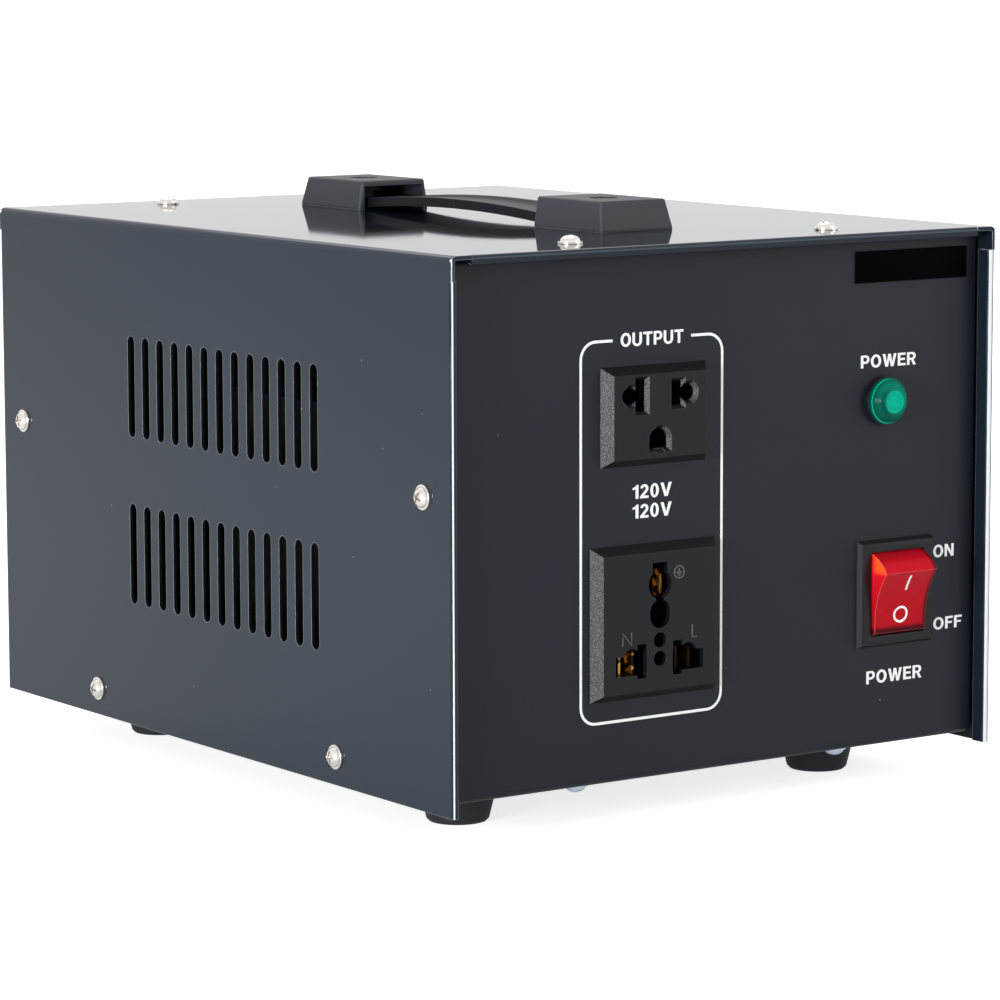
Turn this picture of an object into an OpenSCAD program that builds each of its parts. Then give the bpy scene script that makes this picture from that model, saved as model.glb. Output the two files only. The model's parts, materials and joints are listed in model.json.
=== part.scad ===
// Bench isolation transformer in a folded steel case, in millimetres.
// The front faces -Y, +X is to the right seen from the front, and z is 0 under the rubber feet.
// A U-shaped cover, two folded panels and a base tray are screwed together round an EI-core transformer.
// The front carries two outlets, a pilot lamp and a rocker switch, the rear a fuse holder and a cord gland.

/* [Case] */
// Width of the case over its side walls
case_w = 195; // [188:1:225]
// Depth of the case from its front edges to its rear edges
case_d = 255; // [248:1:290]
// Height of the cover, without the feet
case_h = 155; // [152:1:185]
// Thickness of the cover and panel steel
sheet_t = 1.2; // [1:0.1:1.5]
// Thickness of the base tray
base_t = 1.5; // [1.2:0.1:2]
// Outer radius of the sheet bends
bend_r = 2; // [1.8:0.1:2.6]
// How far the panels sit back from the cover's edges
panel_recess = 6; // [6:0.5:8]
// Height of the panels' lower edges over the cover's
base_lift = 2.4; // [2:0.1:3]
// Depth of the flanges folded back round each panel
flange_d = 20; // [18:1:23]
// Width of the hem folded in along each upright edge
hem_w = 5; // [4:0.5:5.5]
// Height left without a hem under each top corner
hem_notch = 7; // [5:1:10]
// Height of the lip turned down along the top's two ends
lip_h = 2.6; // [2:0.2:3.6]
// Gap between sheet pieces that slip into one another
fit_gap = 0.15; // [0.1:0.05:0.25]

/* [Vents] */
// Number of slots in a row
vent_count = 13; // [9:1:15]
// Spacing of the slots
vent_pitch = 8.6; // [8:0.1:9]
// Width of a slot
vent_w = 4.2; // [3:0.1:5]
// Height of a slot
vent_h = 31; // [24:1:34]
// Height of the lower row's middle over the cover's bottom edge
vent_low_z = 53.3; // [48:0.1:54]
// Spacing of the two rows
vent_row_pitch = 51.4; // [46:0.5:56]
// Distance of the rows' middle behind the case's middle, negative towards the front
vent_mid_y = -6.2; // [-10:0.1:5]

/* [Feet] */
// Height of a rubber foot
foot_h = 14.6; // [12:0.1:18]
// Diameter of a foot where it meets the base
foot_top_d = 25; // [21:0.2:26]
// Diameter of a foot near the ground
foot_low_d = 18.2; // [16:0.2:20]
// Distance of the feet in from each side of the case
foot_side_in = 31.2; // [24:0.2:34]
// Distance of the feet in from the case's front and rear edges
foot_end_in = 43.5; // [41:0.5:45]

/* [Handle] */
// Width of an end cap
cap_w = 26.4; // [25:0.2:30]
// Length of an end cap
cap_l = 34.5; // [33:0.5:38]
// Height of an end cap
cap_h = 9; // [8.6:0.2:12]
// Distance between the two caps' screws
handle_span = 128.6; // [120:0.2:140]
// Distance of the handle's middle behind the case's middle
handle_y = 0.2; // [0:0.1:6]
// Width of the mouth that the strap slides in
mouth_w = 22; // [21:0.2:23]
// Height of the mouth
mouth_h = 7.3; // [7:0.1:7.4]
// Width of the strap
strap_w = 19; // [17:0.2:20]
// Thickness of the strap along its edges
strap_t = 2.9; // [2.4:0.1:3.1]
// Height of the strap over the case at the caps
strap_lift = 0.8; // [0.6:0.1:1.1]
// How much the strap bows up in the middle
strap_bow = 2; // [1.5:0.1:3]

/* [Outlets] */
// Place of the outlets left of the panel's middle
outlet_x = 24.7; // [22:0.1:28]
// Height of the round-and-flat outlet's middle over the cover's bottom edge
duplex_z = 106.7; // [104:0.1:108]
// Width of that outlet's flange
duplex_w = 37; // [36.4:0.1:40]
// Height of that outlet's flange
duplex_h = 28.4; // [28:0.1:30]
// Height of the universal outlet's middle over the cover's bottom edge
uni_z = 48.1; // [44:0.1:49]
// Width and height of the universal outlet's flange
uni_w = 44.2; // [43.6:0.1:46]
// How far both flanges stand out from the panel
outlet_proud = 3.6; // [3:0.1:4.2]
// Width of the slope round each flange
outlet_slope = 2.3; // [1.8:0.1:2.6]
// Depth of the outlet bodies behind the panel
outlet_depth = 24; // [22:0.5:30]
// Wall of the outlet bodies
outlet_wall = 1.8; // [1.4:0.1:2]

/* [Switch] */
// Place of the switch right of the panel's middle
switch_x = 64.5; // [60:0.1:68]
// Height of the switch's middle over the cover's bottom edge
switch_z = 48; // [44:0.1:52]
// Width of the switch bezel
bezel_w = 28.6; // [28:0.1:31]
// Height of the switch bezel
bezel_h = 32; // [31.6:0.1:34]
// How far the bezel stands out from the panel
bezel_proud = 2; // [1.6:0.1:2.2]
// Width of the rocker
rocker_w = 19.4; // [18.6:0.1:20.4]
// Radius of the rocker's end faces about its pivot
rocker_r = 12.8; // [12.4:0.1:13]
// Half the angle between off and on
rocker_half_angle = 16; // [13:0.5:16]
// Diameter of the rocker's pivot pins
pivot_d = 3; // [2.6:0.1:3.4]
// Radial clearance of pins and stems that turn
pin_gap = 0.05; // [0.03:0.01:0.08]

/* [Lamp] */
// Place of the lamp right of the panel's middle
lamp_x = 59.8; // [56:0.1:66]
// Height of the lamp's middle over the cover's bottom edge
lamp_z = 105.1; // [100:0.1:108]
// Diameter of the lens rim
lens_d = 13.5; // [13:0.1:15]
// How far the lens stands out from the panel
lens_proud = 5.4; // [5:0.1:7]
// Diameter of the lamp's threaded body
lamp_body_d = 12; // [11.6:0.1:12.4]

/* [Rear] */
// Place of the fuse holder right of the middle, seen from the rear
fuse_x = 48; // [40:1:60]
// Height of the fuse holder over the cover's bottom edge
fuse_z = 44; // [38:1:60]
// Place of the cord gland left of the middle, seen from the rear
gland_x = 48; // [40:1:60]
// Height of the cord gland over the cover's bottom edge
gland_z = 44; // [38:1:60]
// Bore of the cord gland
gland_bore = 8; // [7:0.5:9]

/* [Transformer] */
// Width of the laminations
core_w = 114; // [108:1:120]
// Thickness of the lamination stack
core_stack = 58; // [50:1:62]
// Distance of the core behind the case's middle
core_y = 32; // [28:1:34]
// Distance of the core right of the case's middle
core_x = 4; // [0:1:8]
// Diameter of the core bolts
core_bolt_d = 5; // [4.6:0.1:5.4]

/* [Fasteners] */
// Diameter of the case screws
screw_d = 4; // [3.6:0.1:4.2]
// Diameter of the case screws' heads over their flanges
screw_head_d = 7.6; // [7:0.1:8.4]
// Height of the case screws' heads
screw_head_h = 3; // [2.6:0.1:3.2]
// Distance of the side screws in from the cover's front and rear edges
side_screw_in = 13.9; // [13:0.1:14.5]
// Height of the side screws over the cover's bottom edge
side_screw_z = 88; // [75:0.1:110]
// Distance of the low side screws in from the cover's front and rear edges
low_screw_in = 59.3; // [54:0.1:68]
// Height of the low side screws over the cover's bottom edge
low_screw_z = 8.3; // [8.1:0.1:9]
// Distance of the top screws in from each side of the case
top_screw_side_in = 51.3; // [42:0.1:58]
// Distance of the top screws in from the cover's front and rear edges
top_screw_end_in = 18.5; // [17.5:0.1:19.5]
// How far the front pair of top screws sits off the middle, to the right
top_screw_off = 1.8; // [0:0.1:3]
// Distance of the screws under the base in from each side of the case
base_screw_side_in = 50.2; // [42:0.1:58]
// Distance of the screws under the base in from the cover's front and rear edges
base_screw_end_in = 12.2; // [12:0.1:14]

/* [Hidden] */
$fn = 48;

paint = [0.27, 0.30, 0.34];
panel_paint = [0.20, 0.21, 0.22];
nickel = [0.75, 0.76, 0.78];
zinc = [0.62, 0.66, 0.72];
brass = [0.80, 0.62, 0.28];
black = [0.07, 0.07, 0.08];
rubber = [0.05, 0.05, 0.05];
steel = [0.45, 0.46, 0.48];

// Overrun of every cut past the surface that it opens
over = 1;

// Sheet metal
panel_w = case_w - 2 * sheet_t - 2 * fit_gap;
panel_h = case_h - sheet_t - fit_gap - base_lift;
front_y = -case_d / 2 + panel_recess;
tray_z = base_lift + sheet_t;
case_z = foot_h - tray_z;
tray_l = 2 * (case_d / 2 - panel_recess - bend_r - fit_gap);
hem_h = case_h - hem_notch;
base_side_h = 16;
base_side_gap = 1;
base_side_l = 2 * (case_d / 2 - panel_recess - flange_d - base_side_gap);

// Screws, nuts and their holes
screw_hole_d = screw_d + 2 * 0.25 * (screw_d / 4);
screw_reach = 5.6 * (screw_d / 4);
head_rim_share = 0.27;
head_dome_share = 0.76;
cross_l_share = 0.48;
cross_w_share = 0.12;
cross_depth_share = 0.55;
thread_gap = 0.05;
nut_flat_share = 1.75;
nut_h_share = 0.75;
clinch_d = 8;
clinch_h = 3;

// Handle
cap_edge_r = 0.8;
cap_side_draft = 1.2;
cap_end_draft = 1.9;
cap_corner_r = 1.4;
cap_wall = 3.1;
recess_d = 9;
recess_depth = 2.4;
cap_floor = 1.4;
boss_d = 8;
handle_screw_d = 4;
handle_head_d = 7.6;
handle_head_h = 2.2;
strap_slack = 0.4;
strap_play = 5;
strap_tip = 3.5;
strap_bead_w = 2.4;
strap_bead_h = 0.6;

// Outlets
latch_out = 0.9;
latch_l = 3;
face_skin = 2;
lead_in = 1;
lead_in_d = 1.3;
sleeve_d = 8;
blade_pitch = 12.7;
blade_w = 3.1;
neutral_h = 9;
live_h = 6.8;
duplex_blade_up = 5.9;
duplex_pin_pitch = 20.2;
duplex_pin_d = 4.8;
ground_w = 6;
ground_h = 5.6;
ground_down = 6.5;
uni_earth_w = 5.3;
uni_earth_top = 16.8;
uni_earth_d1 = 8.2;
uni_earth_up1 = 10.5;
uni_earth_d2 = 7.1;
uni_earth_h2 = 8.2;
uni_earth_up2 = 2.1;
uni_waist_w = 3;
uni_dot_d = 4.4;
uni_dot_down1 = 5.4;
uni_dot_down2 = 10.7;
uni_blade_w = 3.4;
uni_blade_h = 9.9;
uni_blade_down = 11;
uni_flat_in = 4.5;
uni_flat_out = 15.6;
uni_flat_h = 5.7;
uni_flat_down = 12;
uni_pin_d = 5.8;
uni_pin_x = 10;
uni_pin_down = 9.9;
leaf_t = 0.8;
leaf_gap = 1.6;
leaf_d = 11;
leaf_flare = 1.2;
uni_leaf_space = 0.8;
tab_w = 4.8;
tab_l = 8;
tab_gap = 0.1;
uni_leaf_h = 8;
duplex_leaf_h = 7;

// Switch
pivot_depth = 2.4;
rocker_peak = 8.5;
rocker_dish = 1.8;
rocker_below = 4;
rocker_wall = 2;
rocker_gap = 0.3;
housing_depth = 22;
housing_wall = 2;
housing_end_wall = 1.1;
neon_d = 4;
neon_l = 9;
neon_up = 5.6;
neon_deep = 1;
neon_leg_d = 0.8;
spade_w = 6.3;
spade_t = 0.8;
spade_l = 9;
spade_up = 7.4;
bezel_edge = 1;
pin_l = 1.2;
neon_leg_share = 0.8;

// Lamp
lens_rim_h = 1.2;
lens_step_h = 0.4;
lens_dome_d_share = 0.88;
lens_disc_d_share = 0.62;
lens_spigot_d = 8;
lens_spigot_l = 5;
lens_teeth = 40;
lens_tooth_d = 0.4;
lens_ring_h = 0.5;
lamp_flange_d = 14.4;
lamp_flange_h = 1.6;
lamp_body_l = 26;
lamp_nut_h = 4;
lamp_pin_l = 7;
lamp_pin_w = 2.8;

// Fuse holder
fuse_flange_d = 18;
fuse_flange_h = 2.5;
fuse_barrel_d = 12.6;
fuse_barrel_l = 40;
fuse_stem_d = 9.6;
fuse_stem_l = 9;
fuse_d = 6.35;
fuse_l = 31.8;
fuse_gap = 0.2;
fuse_end_l = 6;
fuse_glass_d = 5.6;
fuse_nut_h = 4;
fuse_cap_slot_w = 1.4;
fuse_cap_slot_h = 1.6;
fuse_cap_tip_d = 12.4;
fuse_socket_l = 5;
fuse_ribs = 20;
fuse_rib_d = 1;
fuse_contact_leg_d = 3;

// Cord gland
gland_hex_w = 20;
gland_hex_h = 3.4;
gland_thread_d = 15.6;
gland_thread_l = 12;
gland_tip_d = 15;
gland_nut_hex_w = 22;
gland_nut_h = 4;

// Transformer
leg_share = 1 / 3;
yoke_share = 1 / 6;
window_share = 0.5;
bolt_corner_share = 1 / 12;
core_h = core_w * (2 * yoke_share + window_share);
coil_gap = 0.3;
bobbin_wall = 1.6;
flange_wall = 2;
coil_edge_r = 5;
wrap_t = 0.5;
coil_side_gap = 0.9;
bracket_t = 2.5;
bracket_foot = 16;
bracket_below = 1.5;
core_head_h = 3.4;
core_nut_h = 4;
mount_screw_d = 4;
mount_inset = 10;

// Terminal block
block_poles = 5;
block_pitch = 11;
block_d = 24;
block_base_h = 9;
block_rib_h = 16;
block_rib_t = 1.8;
block_ear = 9;
block_ear_h = 4;
block_side_in = 51.5;
block_front_in = 79.5;
block_x = block_side_in - case_w / 2;
block_y = block_front_in - case_d / 2;
block_screw_d = 3.5;
block_plate_w = 7;
block_plate_t = 1;
block_tap_deep = 5;

// Earth stud
earth_side_in = 27.5;
earth_rear_in = 65.5;
earth_x = earth_side_in - case_w / 2;
earth_y = case_d / 2 - earth_rear_in;
earth_d = 5;
earth_h = 14;

// Leads
lead_d = 2.4;
lead_sides = 8;
lead_steps = 14;

// Round-ended upright slot
module slot2d(w, h) {
  square([w, h - w], center = true);
  for (s = [-1, 1]) translate([0, s * (h - w) / 2]) circle(d = w);
}

// Rectangle with round corners
module round_rect(w, h, r) {
  square([w - 2 * r, h], center = true);
  square([w, h - 2 * r], center = true);
  for (sx = [-1, 1], sy = [-1, 1]) translate([sx * (w / 2 - r), sy * (h / 2 - r)]) circle(r = r);
}

// Plate from y = 0 to y = d whose two corners at y = 0 are round
module front_rounded(w, d, r) {
  translate([-w / 2 + r, 0]) square([w - 2 * r, d]);
  translate([-w / 2, r]) square([w, d - r]);
  for (s = [-1, 1]) translate([s * (w / 2 - r), r]) circle(r = r);
}

// Section of a sheet folded into a U, its back along y = 0 and open towards +y
module fold_u(w, d, t, r) {
  difference() {
    front_rounded(w, d, r);
    translate([0, t]) front_rounded(w - 2 * t, d + over, r - t);
  }
}

// Screw seated on z = 0: a flange and a domed cross-slotted head above, its shank below
module pan_screw(d, head_d, head_h, reach) {
  rim_h = head_h * head_rim_share;
  crown = head_h - rim_h;
  dome_d = head_d * head_dome_share;
  dome = (dome_d * dome_d / 4 + crown * crown) / (2 * crown);
  translate([0, 0, -reach]) cylinder(d = d, h = reach + rim_h);
  cylinder(d = head_d, h = rim_h);
  difference() {
    intersection() {
      cylinder(d = dome_d, h = head_h);
      translate([0, 0, head_h - dome]) sphere(r = dome);
    }
    for (a = [0, 90]) rotate(a) translate([0, 0, head_h]) cube([head_d * cross_l_share,
      head_d * cross_w_share, 2 * head_h * cross_depth_share], center = true);
  }
}

// Hexagon nut standing on z = 0
module hex_nut(d, flats, h) {
  difference() {
    cylinder(d = flats / cos(30), h = h, $fn = 6);
    translate([0, 0, -over]) cylinder(d = d + 2 * thread_gap, h = h + 2 * over);
  }
}

// Round nut pressed into a sheet, standing on z = 0
module clinch_nut() {
  difference() {
    cylinder(d = clinch_d, h = clinch_h);
    translate([0, 0, -over]) cylinder(d = screw_d + 2 * thread_gap, h = clinch_h + 2 * over);
  }
}

// Frames: z from the cover's bottom edge, and y from a panel's outer face inwards
module on_feet() translate([0, 0, case_z]) children();
module at_front(x, z) translate([x, front_y, case_z + z]) children();
module at_rear(x, z) translate([0, -front_y, case_z + z]) rotate(180) translate([x, 0, 0]) children();

// Turns a shape built along +z so that it runs inwards from a panel, along the panel frame's +y
module inwards() rotate([-90, 0, 0]) children();

// Places for the screws round the case; children point outwards along +z
module side_places(inset) for (s = [-1, 1], e = [-1, 1])
  translate([s * (case_w / 2 - inset), e * (case_d / 2 - side_screw_in), side_screw_z])
    rotate([0, s * 90, 0]) children();
module low_side_places(inset) for (s = [-1, 1], e = [-1, 1])
  translate([s * (case_w / 2 - inset), e * (case_d / 2 - low_screw_in), low_screw_z])
    rotate([0, s * 90, 0]) children();
module top_places(inset) for (s = [-1, 1], e = [-1, 1])
  translate([s * (case_w / 2 - top_screw_side_in) + (e < 0 ? top_screw_off : 0),
    e * (case_d / 2 - top_screw_end_in), case_h - inset]) children();
module low_places(inset) for (s = [-1, 1], e = [-1, 1])
  translate([s * (case_w / 2 - base_screw_side_in), e * (case_d / 2 - base_screw_end_in), inset])
    mirror([0, 0, 1]) children();
module foot_places() for (s = [-1, 1], e = [-1, 1])
  translate([s * (case_w / 2 - foot_side_in), e * (case_d / 2 - foot_end_in), 0]) children();
module handle_places() for (e = [-1, 1]) translate([0, handle_y + e * handle_span / 2, case_h]) children();

// U-shaped cover with hems, lips and vents
module cover() color(paint) on_feet() difference() {
  union() {
    difference() {
      translate([0, case_d / 2, case_h]) rotate([90, 0, 0]) mirror([0, 1, 0])
        linear_extrude(case_d) fold_u(case_w, case_h, sheet_t, bend_r);
      for (s = [-1, 1], e = [-1, 1]) {
        translate([s * case_w / 2, e * case_d / 2, hem_h / 2 - over])
          cube([4 * sheet_t, 2 * sheet_t, hem_h + 2 * over], center = true);
      }
      for (e = [-1, 1]) translate([0, e * case_d / 2, case_h])
        cube([case_w - 2 * hem_notch, 2 * sheet_t, 2 * lip_h], center = true);
    }
    for (s = [-1, 1], e = [-1, 1]) translate([s * (case_w / 2 - sheet_t), e * (case_d / 2 - sheet_t), 0])
      linear_extrude(hem_h) {
        circle(r = sheet_t);
        translate([-sheet_t, e > 0 ? sheet_t - hem_w : 0]) square([2 * sheet_t, hem_w - sheet_t]);
      }
    for (e = [-1, 1]) translate([0, e * (case_d / 2 - sheet_t), case_h - sheet_t]) {
      rotate([0, 90, 0]) cylinder(r = sheet_t, h = case_w - 2 * hem_notch, center = true);
      translate([0, e * sheet_t / 2, (sheet_t - lip_h) / 2])
        cube([case_w - 2 * hem_notch, sheet_t, lip_h - sheet_t], center = true);
    }
  }
  for (row = [0, 1], i = [0 : vent_count - 1])
    translate([0, vent_mid_y + (i - (vent_count - 1) / 2) * vent_pitch, vent_low_z + row * vent_row_pitch])
      rotate([90, 0, 90]) linear_extrude(case_w + 2 * over, center = true) slot2d(vent_w, vent_h);
  side_places(sheet_t + over) cylinder(d = screw_hole_d, h = sheet_t + 2 * over);
  low_side_places(sheet_t + over) cylinder(d = screw_hole_d, h = sheet_t + 2 * over);
  top_places(sheet_t + over) cylinder(d = screw_hole_d, h = sheet_t + 2 * over);
  handle_places() translate([0, 0, -sheet_t - over])
    cylinder(d = handle_screw_d + screw_hole_d - screw_d, h = sheet_t + 2 * over);
}

// Panel with flanges folded back on all four sides, in the frame y = 0 on its outer face
module panel_shell() {
  translate([0, 0, base_lift + bend_r]) linear_extrude(panel_h - 2 * bend_r)
    fold_u(panel_w, flange_d, sheet_t, bend_r);
  translate([0, 0, base_lift + panel_h / 2]) rotate([0, -90, 0])
    linear_extrude(panel_w - 2 * bend_r, center = true) fold_u(panel_h, flange_d, sheet_t, bend_r);
}

// Screw holes through a panel's flanges, in the frame of the whole case
module flange_holes() on_feet() {
  side_places(2 * sheet_t + fit_gap + over) cylinder(d = screw_hole_d, h = sheet_t + 2 * over - fit_gap);
  top_places(2 * sheet_t + fit_gap + over) cylinder(d = screw_hole_d, h = sheet_t + 2 * over);
  low_places(tray_z + over) cylinder(d = screw_hole_d, h = sheet_t + 2 * over);
}

// Front panel with cut-outs for the outlets, the switch and the lamp
module front_panel() color(panel_paint) difference() {
  at_front(0, 0) panel_shell();
  flange_holes();
  at_front(-outlet_x, duplex_z) panel_cut(duplex_body_w + 2 * fit_gap, duplex_body_h + 2 * fit_gap);
  at_front(-outlet_x, uni_z) panel_cut(uni_body_w + 2 * fit_gap, uni_body_w + 2 * fit_gap);
  at_front(switch_x, switch_z) panel_cut(housing_w + 2 * fit_gap, housing_h + 2 * fit_gap);
  at_front(lamp_x, lamp_z) translate([0, -over, 0]) inwards()
    cylinder(d = lamp_body_d + 2 * fit_gap, h = sheet_t + 2 * over);
}
module panel_cut(w, h) translate([-w / 2, -over, -h / 2]) cube([w, sheet_t + 2 * over, h]);

// Rear panel with holes for the fuse holder and the cord gland
module rear_panel() color(panel_paint) difference() {
  at_rear(0, 0) panel_shell();
  flange_holes();
  at_rear(fuse_x, fuse_z) translate([0, -over, 0]) inwards()
    cylinder(d = fuse_barrel_d + 2 * fit_gap, h = sheet_t + 2 * over);
  at_rear(-gland_x, gland_z) translate([0, -over, 0]) inwards()
    cylinder(d = gland_thread_d + 2 * fit_gap, h = sheet_t + 2 * over);
}

// Base tray on the panels' lower flanges, with sides folded up between the two panels
module base_plate() color(paint) on_feet() difference() {
  translate([0, 0, tray_z]) {
    translate([0, base_side_l / 2, 0]) rotate([90, 0, 0])
      linear_extrude(base_side_l) fold_u(panel_w, base_side_h, base_t, bend_r);
    translate([0, 0, base_t / 2]) cube([panel_w - 2 * bend_r, tray_l, base_t], center = true);
  }
  low_side_places(sheet_t + fit_gap + base_t + over)
    cylinder(d = screw_d + 2 * thread_gap, h = base_t + 2 * over);
  low_places(tray_z + base_t + over) cylinder(d = screw_hole_d, h = base_t + 2 * over);
  foot_places() translate([0, 0, tray_z - over]) cylinder(d = screw_hole_d, h = base_t + 2 * over);
  mount_places() translate([0, 0, -over - base_t])
    cylinder(d = mount_screw_d + screw_hole_d - screw_d, h = base_t + 2 * over);
  block_places() translate([0, 0, -over]) cylinder(d = block_screw_d + 2 * thread_gap,
    h = base_t + 2 * over);
}

// Conical rubber feet, each with a sunk seat for its screw
foot_edge = 0.8;
foot_seat_d = 10.4;
foot_seat_deep_share = 0.5;
foot_seat = foot_h * foot_seat_deep_share;
module rubber_feet() color(rubber) foot_places() difference() {
  union() {
    cylinder(d1 = foot_low_d - 2 * foot_edge, d2 = foot_low_d, h = foot_edge);
    translate([0, 0, foot_edge]) cylinder(d1 = foot_low_d, d2 = foot_top_d, h = foot_h - foot_edge);
  }
  translate([0, 0, -over]) cylinder(d = foot_seat_d, h = foot_seat + over);
  cylinder(d = screw_hole_d, h = foot_h + over);
}
nut_h = screw_d * nut_h_share;
nut_flat = screw_d * nut_flat_share;
module foot_screws() color(zinc) foot_places() translate([0, 0, foot_seat]) mirror([0, 0, 1])
  pan_screw(screw_d, screw_head_d, screw_head_h, foot_h - foot_seat + base_t + nut_h + over);
module foot_nuts() color(zinc) foot_places() translate([0, 0, foot_h + base_t])
  hex_nut(screw_d, nut_flat, nut_h);

// Case screws and the nuts pressed into the flanges behind them
module cover_top_screws() color(nickel) on_feet() top_places(0)
  pan_screw(screw_d, screw_head_d, screw_head_h, screw_reach);
module cover_side_screws() color(nickel) on_feet() {
  side_places(0) pan_screw(screw_d, screw_head_d, screw_head_h, screw_reach);
  low_side_places(0) pan_screw(screw_d, screw_head_d, screw_head_h, screw_reach);
}
module panel_base_screws() color(zinc) on_feet() low_places(base_lift)
  pan_screw(screw_d, screw_head_d, screw_head_h, screw_reach);
module clinch_nuts() color(zinc) on_feet() {
  side_places(2 * sheet_t + fit_gap + clinch_h) clinch_nut();
  top_places(2 * sheet_t + fit_gap + clinch_h) clinch_nut();
  low_places(tray_z + base_t + clinch_h) clinch_nut();
}

// Moulded end cap of the handle, its upright mouth towards +y and z = 0 on the case
module handle_cap() difference() {
  union() {
    difference() {
      hull() {
        linear_extrude(cap_edge_r) round_rect(cap_w, cap_l, cap_corner_r, $fn = 32);
        for (sx = [-1, 1], sy = [-1, 1])
          translate([sx * (cap_w / 2 - cap_side_draft - cap_corner_r),
            sy * (cap_l / 2 - cap_corner_r) + (sy < 0 ? cap_end_draft : 0), cap_h - cap_edge_r])
            rotate_extrude($fn = 32) {
              square([cap_corner_r - cap_edge_r, cap_edge_r]);
              translate([cap_corner_r - cap_edge_r, 0]) intersection() {
                circle(r = cap_edge_r);
                square(cap_edge_r);
              }
            }
      }
      translate([-mouth_w / 2, -cap_l / 2 + cap_wall, -over]) cube([mouth_w, cap_l, mouth_h + over]);
    }
    translate([0, 0, cap_h - recess_depth - cap_floor])
      cylinder(d = recess_d + 2 * cap_floor, h = mouth_h - cap_h + recess_depth + cap_floor
        + cap_edge_r / 2);
    cylinder(d = boss_d, h = cap_h - recess_depth - cap_floor / 2);
  }
  translate([0, 0, cap_h - recess_depth]) cylinder(d = recess_d, h = recess_depth + over);
  translate([0, 0, -over]) cylinder(d = handle_screw_d + 2 * fit_gap, h = cap_h);
}
module handle_cap_front() color(black) on_feet() translate([0, handle_y - handle_span / 2, case_h])
  handle_cap();
module handle_cap_rear() color(black) on_feet() translate([0, handle_y + handle_span / 2, case_h])
  rotate(180) handle_cap();
handle_nut_h = handle_screw_d * nut_h_share;
module handle_screws() color(zinc) on_feet() handle_places() translate([0, 0, cap_h - recess_depth])
  pan_screw(handle_screw_d, handle_head_d, handle_head_h,
    cap_h - recess_depth + sheet_t + handle_nut_h + over);
module handle_nuts() color(zinc) on_feet() handle_places() translate([0, 0, -sheet_t - handle_nut_h])
  hex_nut(handle_screw_d, handle_screw_d * nut_flat_share, handle_nut_h);

// Strap with beaded edges: a shallow bow between the mouths and flat slotted ends inside the caps
strap_half = handle_span / 2 - cap_l / 2;
strap_r = (strap_half * strap_half + strap_bow * strap_bow) / (2 * strap_bow);
strap_angle = 2 * asin(strap_half / strap_r);
strap_end = handle_span / 2 + boss_d / 2 + strap_slack + strap_play + strap_tip;
strap_outline = [[-strap_w / 2, 0], [strap_w / 2, 0], [strap_w / 2, strap_t],
  [strap_w / 2 - strap_bead_w, strap_t], [strap_w / 2 - strap_bead_w - strap_bead_h,
    strap_t - strap_bead_h],
  [-strap_w / 2 + strap_bead_w + strap_bead_h, strap_t - strap_bead_h],
    [-strap_w / 2 + strap_bead_w, strap_t],
  [-strap_w / 2, strap_t]];
module handle_strap() color(black) on_feet() translate([0, handle_y, case_h + strap_lift]) difference() {
  union() {
    translate([0, 0, strap_bow - strap_r]) rotate([0, -90, 0])
      rotate_extrude(angle = strap_angle, start = -strap_angle / 2)
        polygon([for (p = strap_outline) [strap_r + p[1], p[0]]]);
    for (e = [0, 180]) rotate(e) translate([0, strap_end, 0]) rotate([90, 0, 0])
      linear_extrude(strap_end - strap_half) polygon(strap_outline);
  }
  for (e = [-1, 1]) translate([0, e * (handle_span + strap_play) / 2, -over])
    linear_extrude(strap_t + 2 * over) slot2d(boss_d + 2 * strap_slack,
      boss_d + 2 * strap_slack + strap_play);
}

// Outlet bodies behind their flanges
duplex_body_w = duplex_w - 2 * outlet_slope;
duplex_body_h = duplex_h - 2 * outlet_slope;
uni_body_w = uni_w - 2 * outlet_slope;
skin_back = face_skin - outlet_proud;

// Flange with sloping sides from the panel out to its face: y = 0 on the panel
module sloped_flange(w, h) intersection() {
  translate([0, 0, -h / 2]) linear_extrude(h)
    polygon([[-w / 2, 0], [w / 2, 0], [w / 2 - outlet_slope, -outlet_proud],
      [outlet_slope - w / 2, -outlet_proud]]);
  translate([w / 2, 0, 0]) rotate([0, -90, 0]) linear_extrude(w)
    polygon([[-h / 2, 0], [h / 2, 0], [h / 2 - outlet_slope, -outlet_proud],
      [outlet_slope - h / 2, -outlet_proud]]);
}

// Front half of an outlet: flange, skin, the sleeve through the panel and two snap latches
module outlet_shell(w, h, body_w, body_h) difference() {
  union() {
    sloped_flange(w, h);
    translate([-body_w / 2, -outlet_proud / 2, -body_h / 2])
      cube([body_w, outlet_proud / 2 + sleeve_d, body_h]);
    for (s = [0, 180]) rotate([0, s, 0]) translate([-latch_l, 0, body_h / 2]) rotate([0, 90, 0])
      linear_extrude(2 * latch_l)
        polygon([[0, sheet_t + fit_gap], [-latch_out, sheet_t + fit_gap],
          [0, sheet_t + fit_gap + 4 * latch_out]]);
  }
  translate([outlet_wall - body_w / 2, skin_back, outlet_wall - body_h / 2])
    cube([body_w - 2 * outlet_wall, sleeve_d + outlet_proud, body_h - 2 * outlet_wall]);
}

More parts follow.
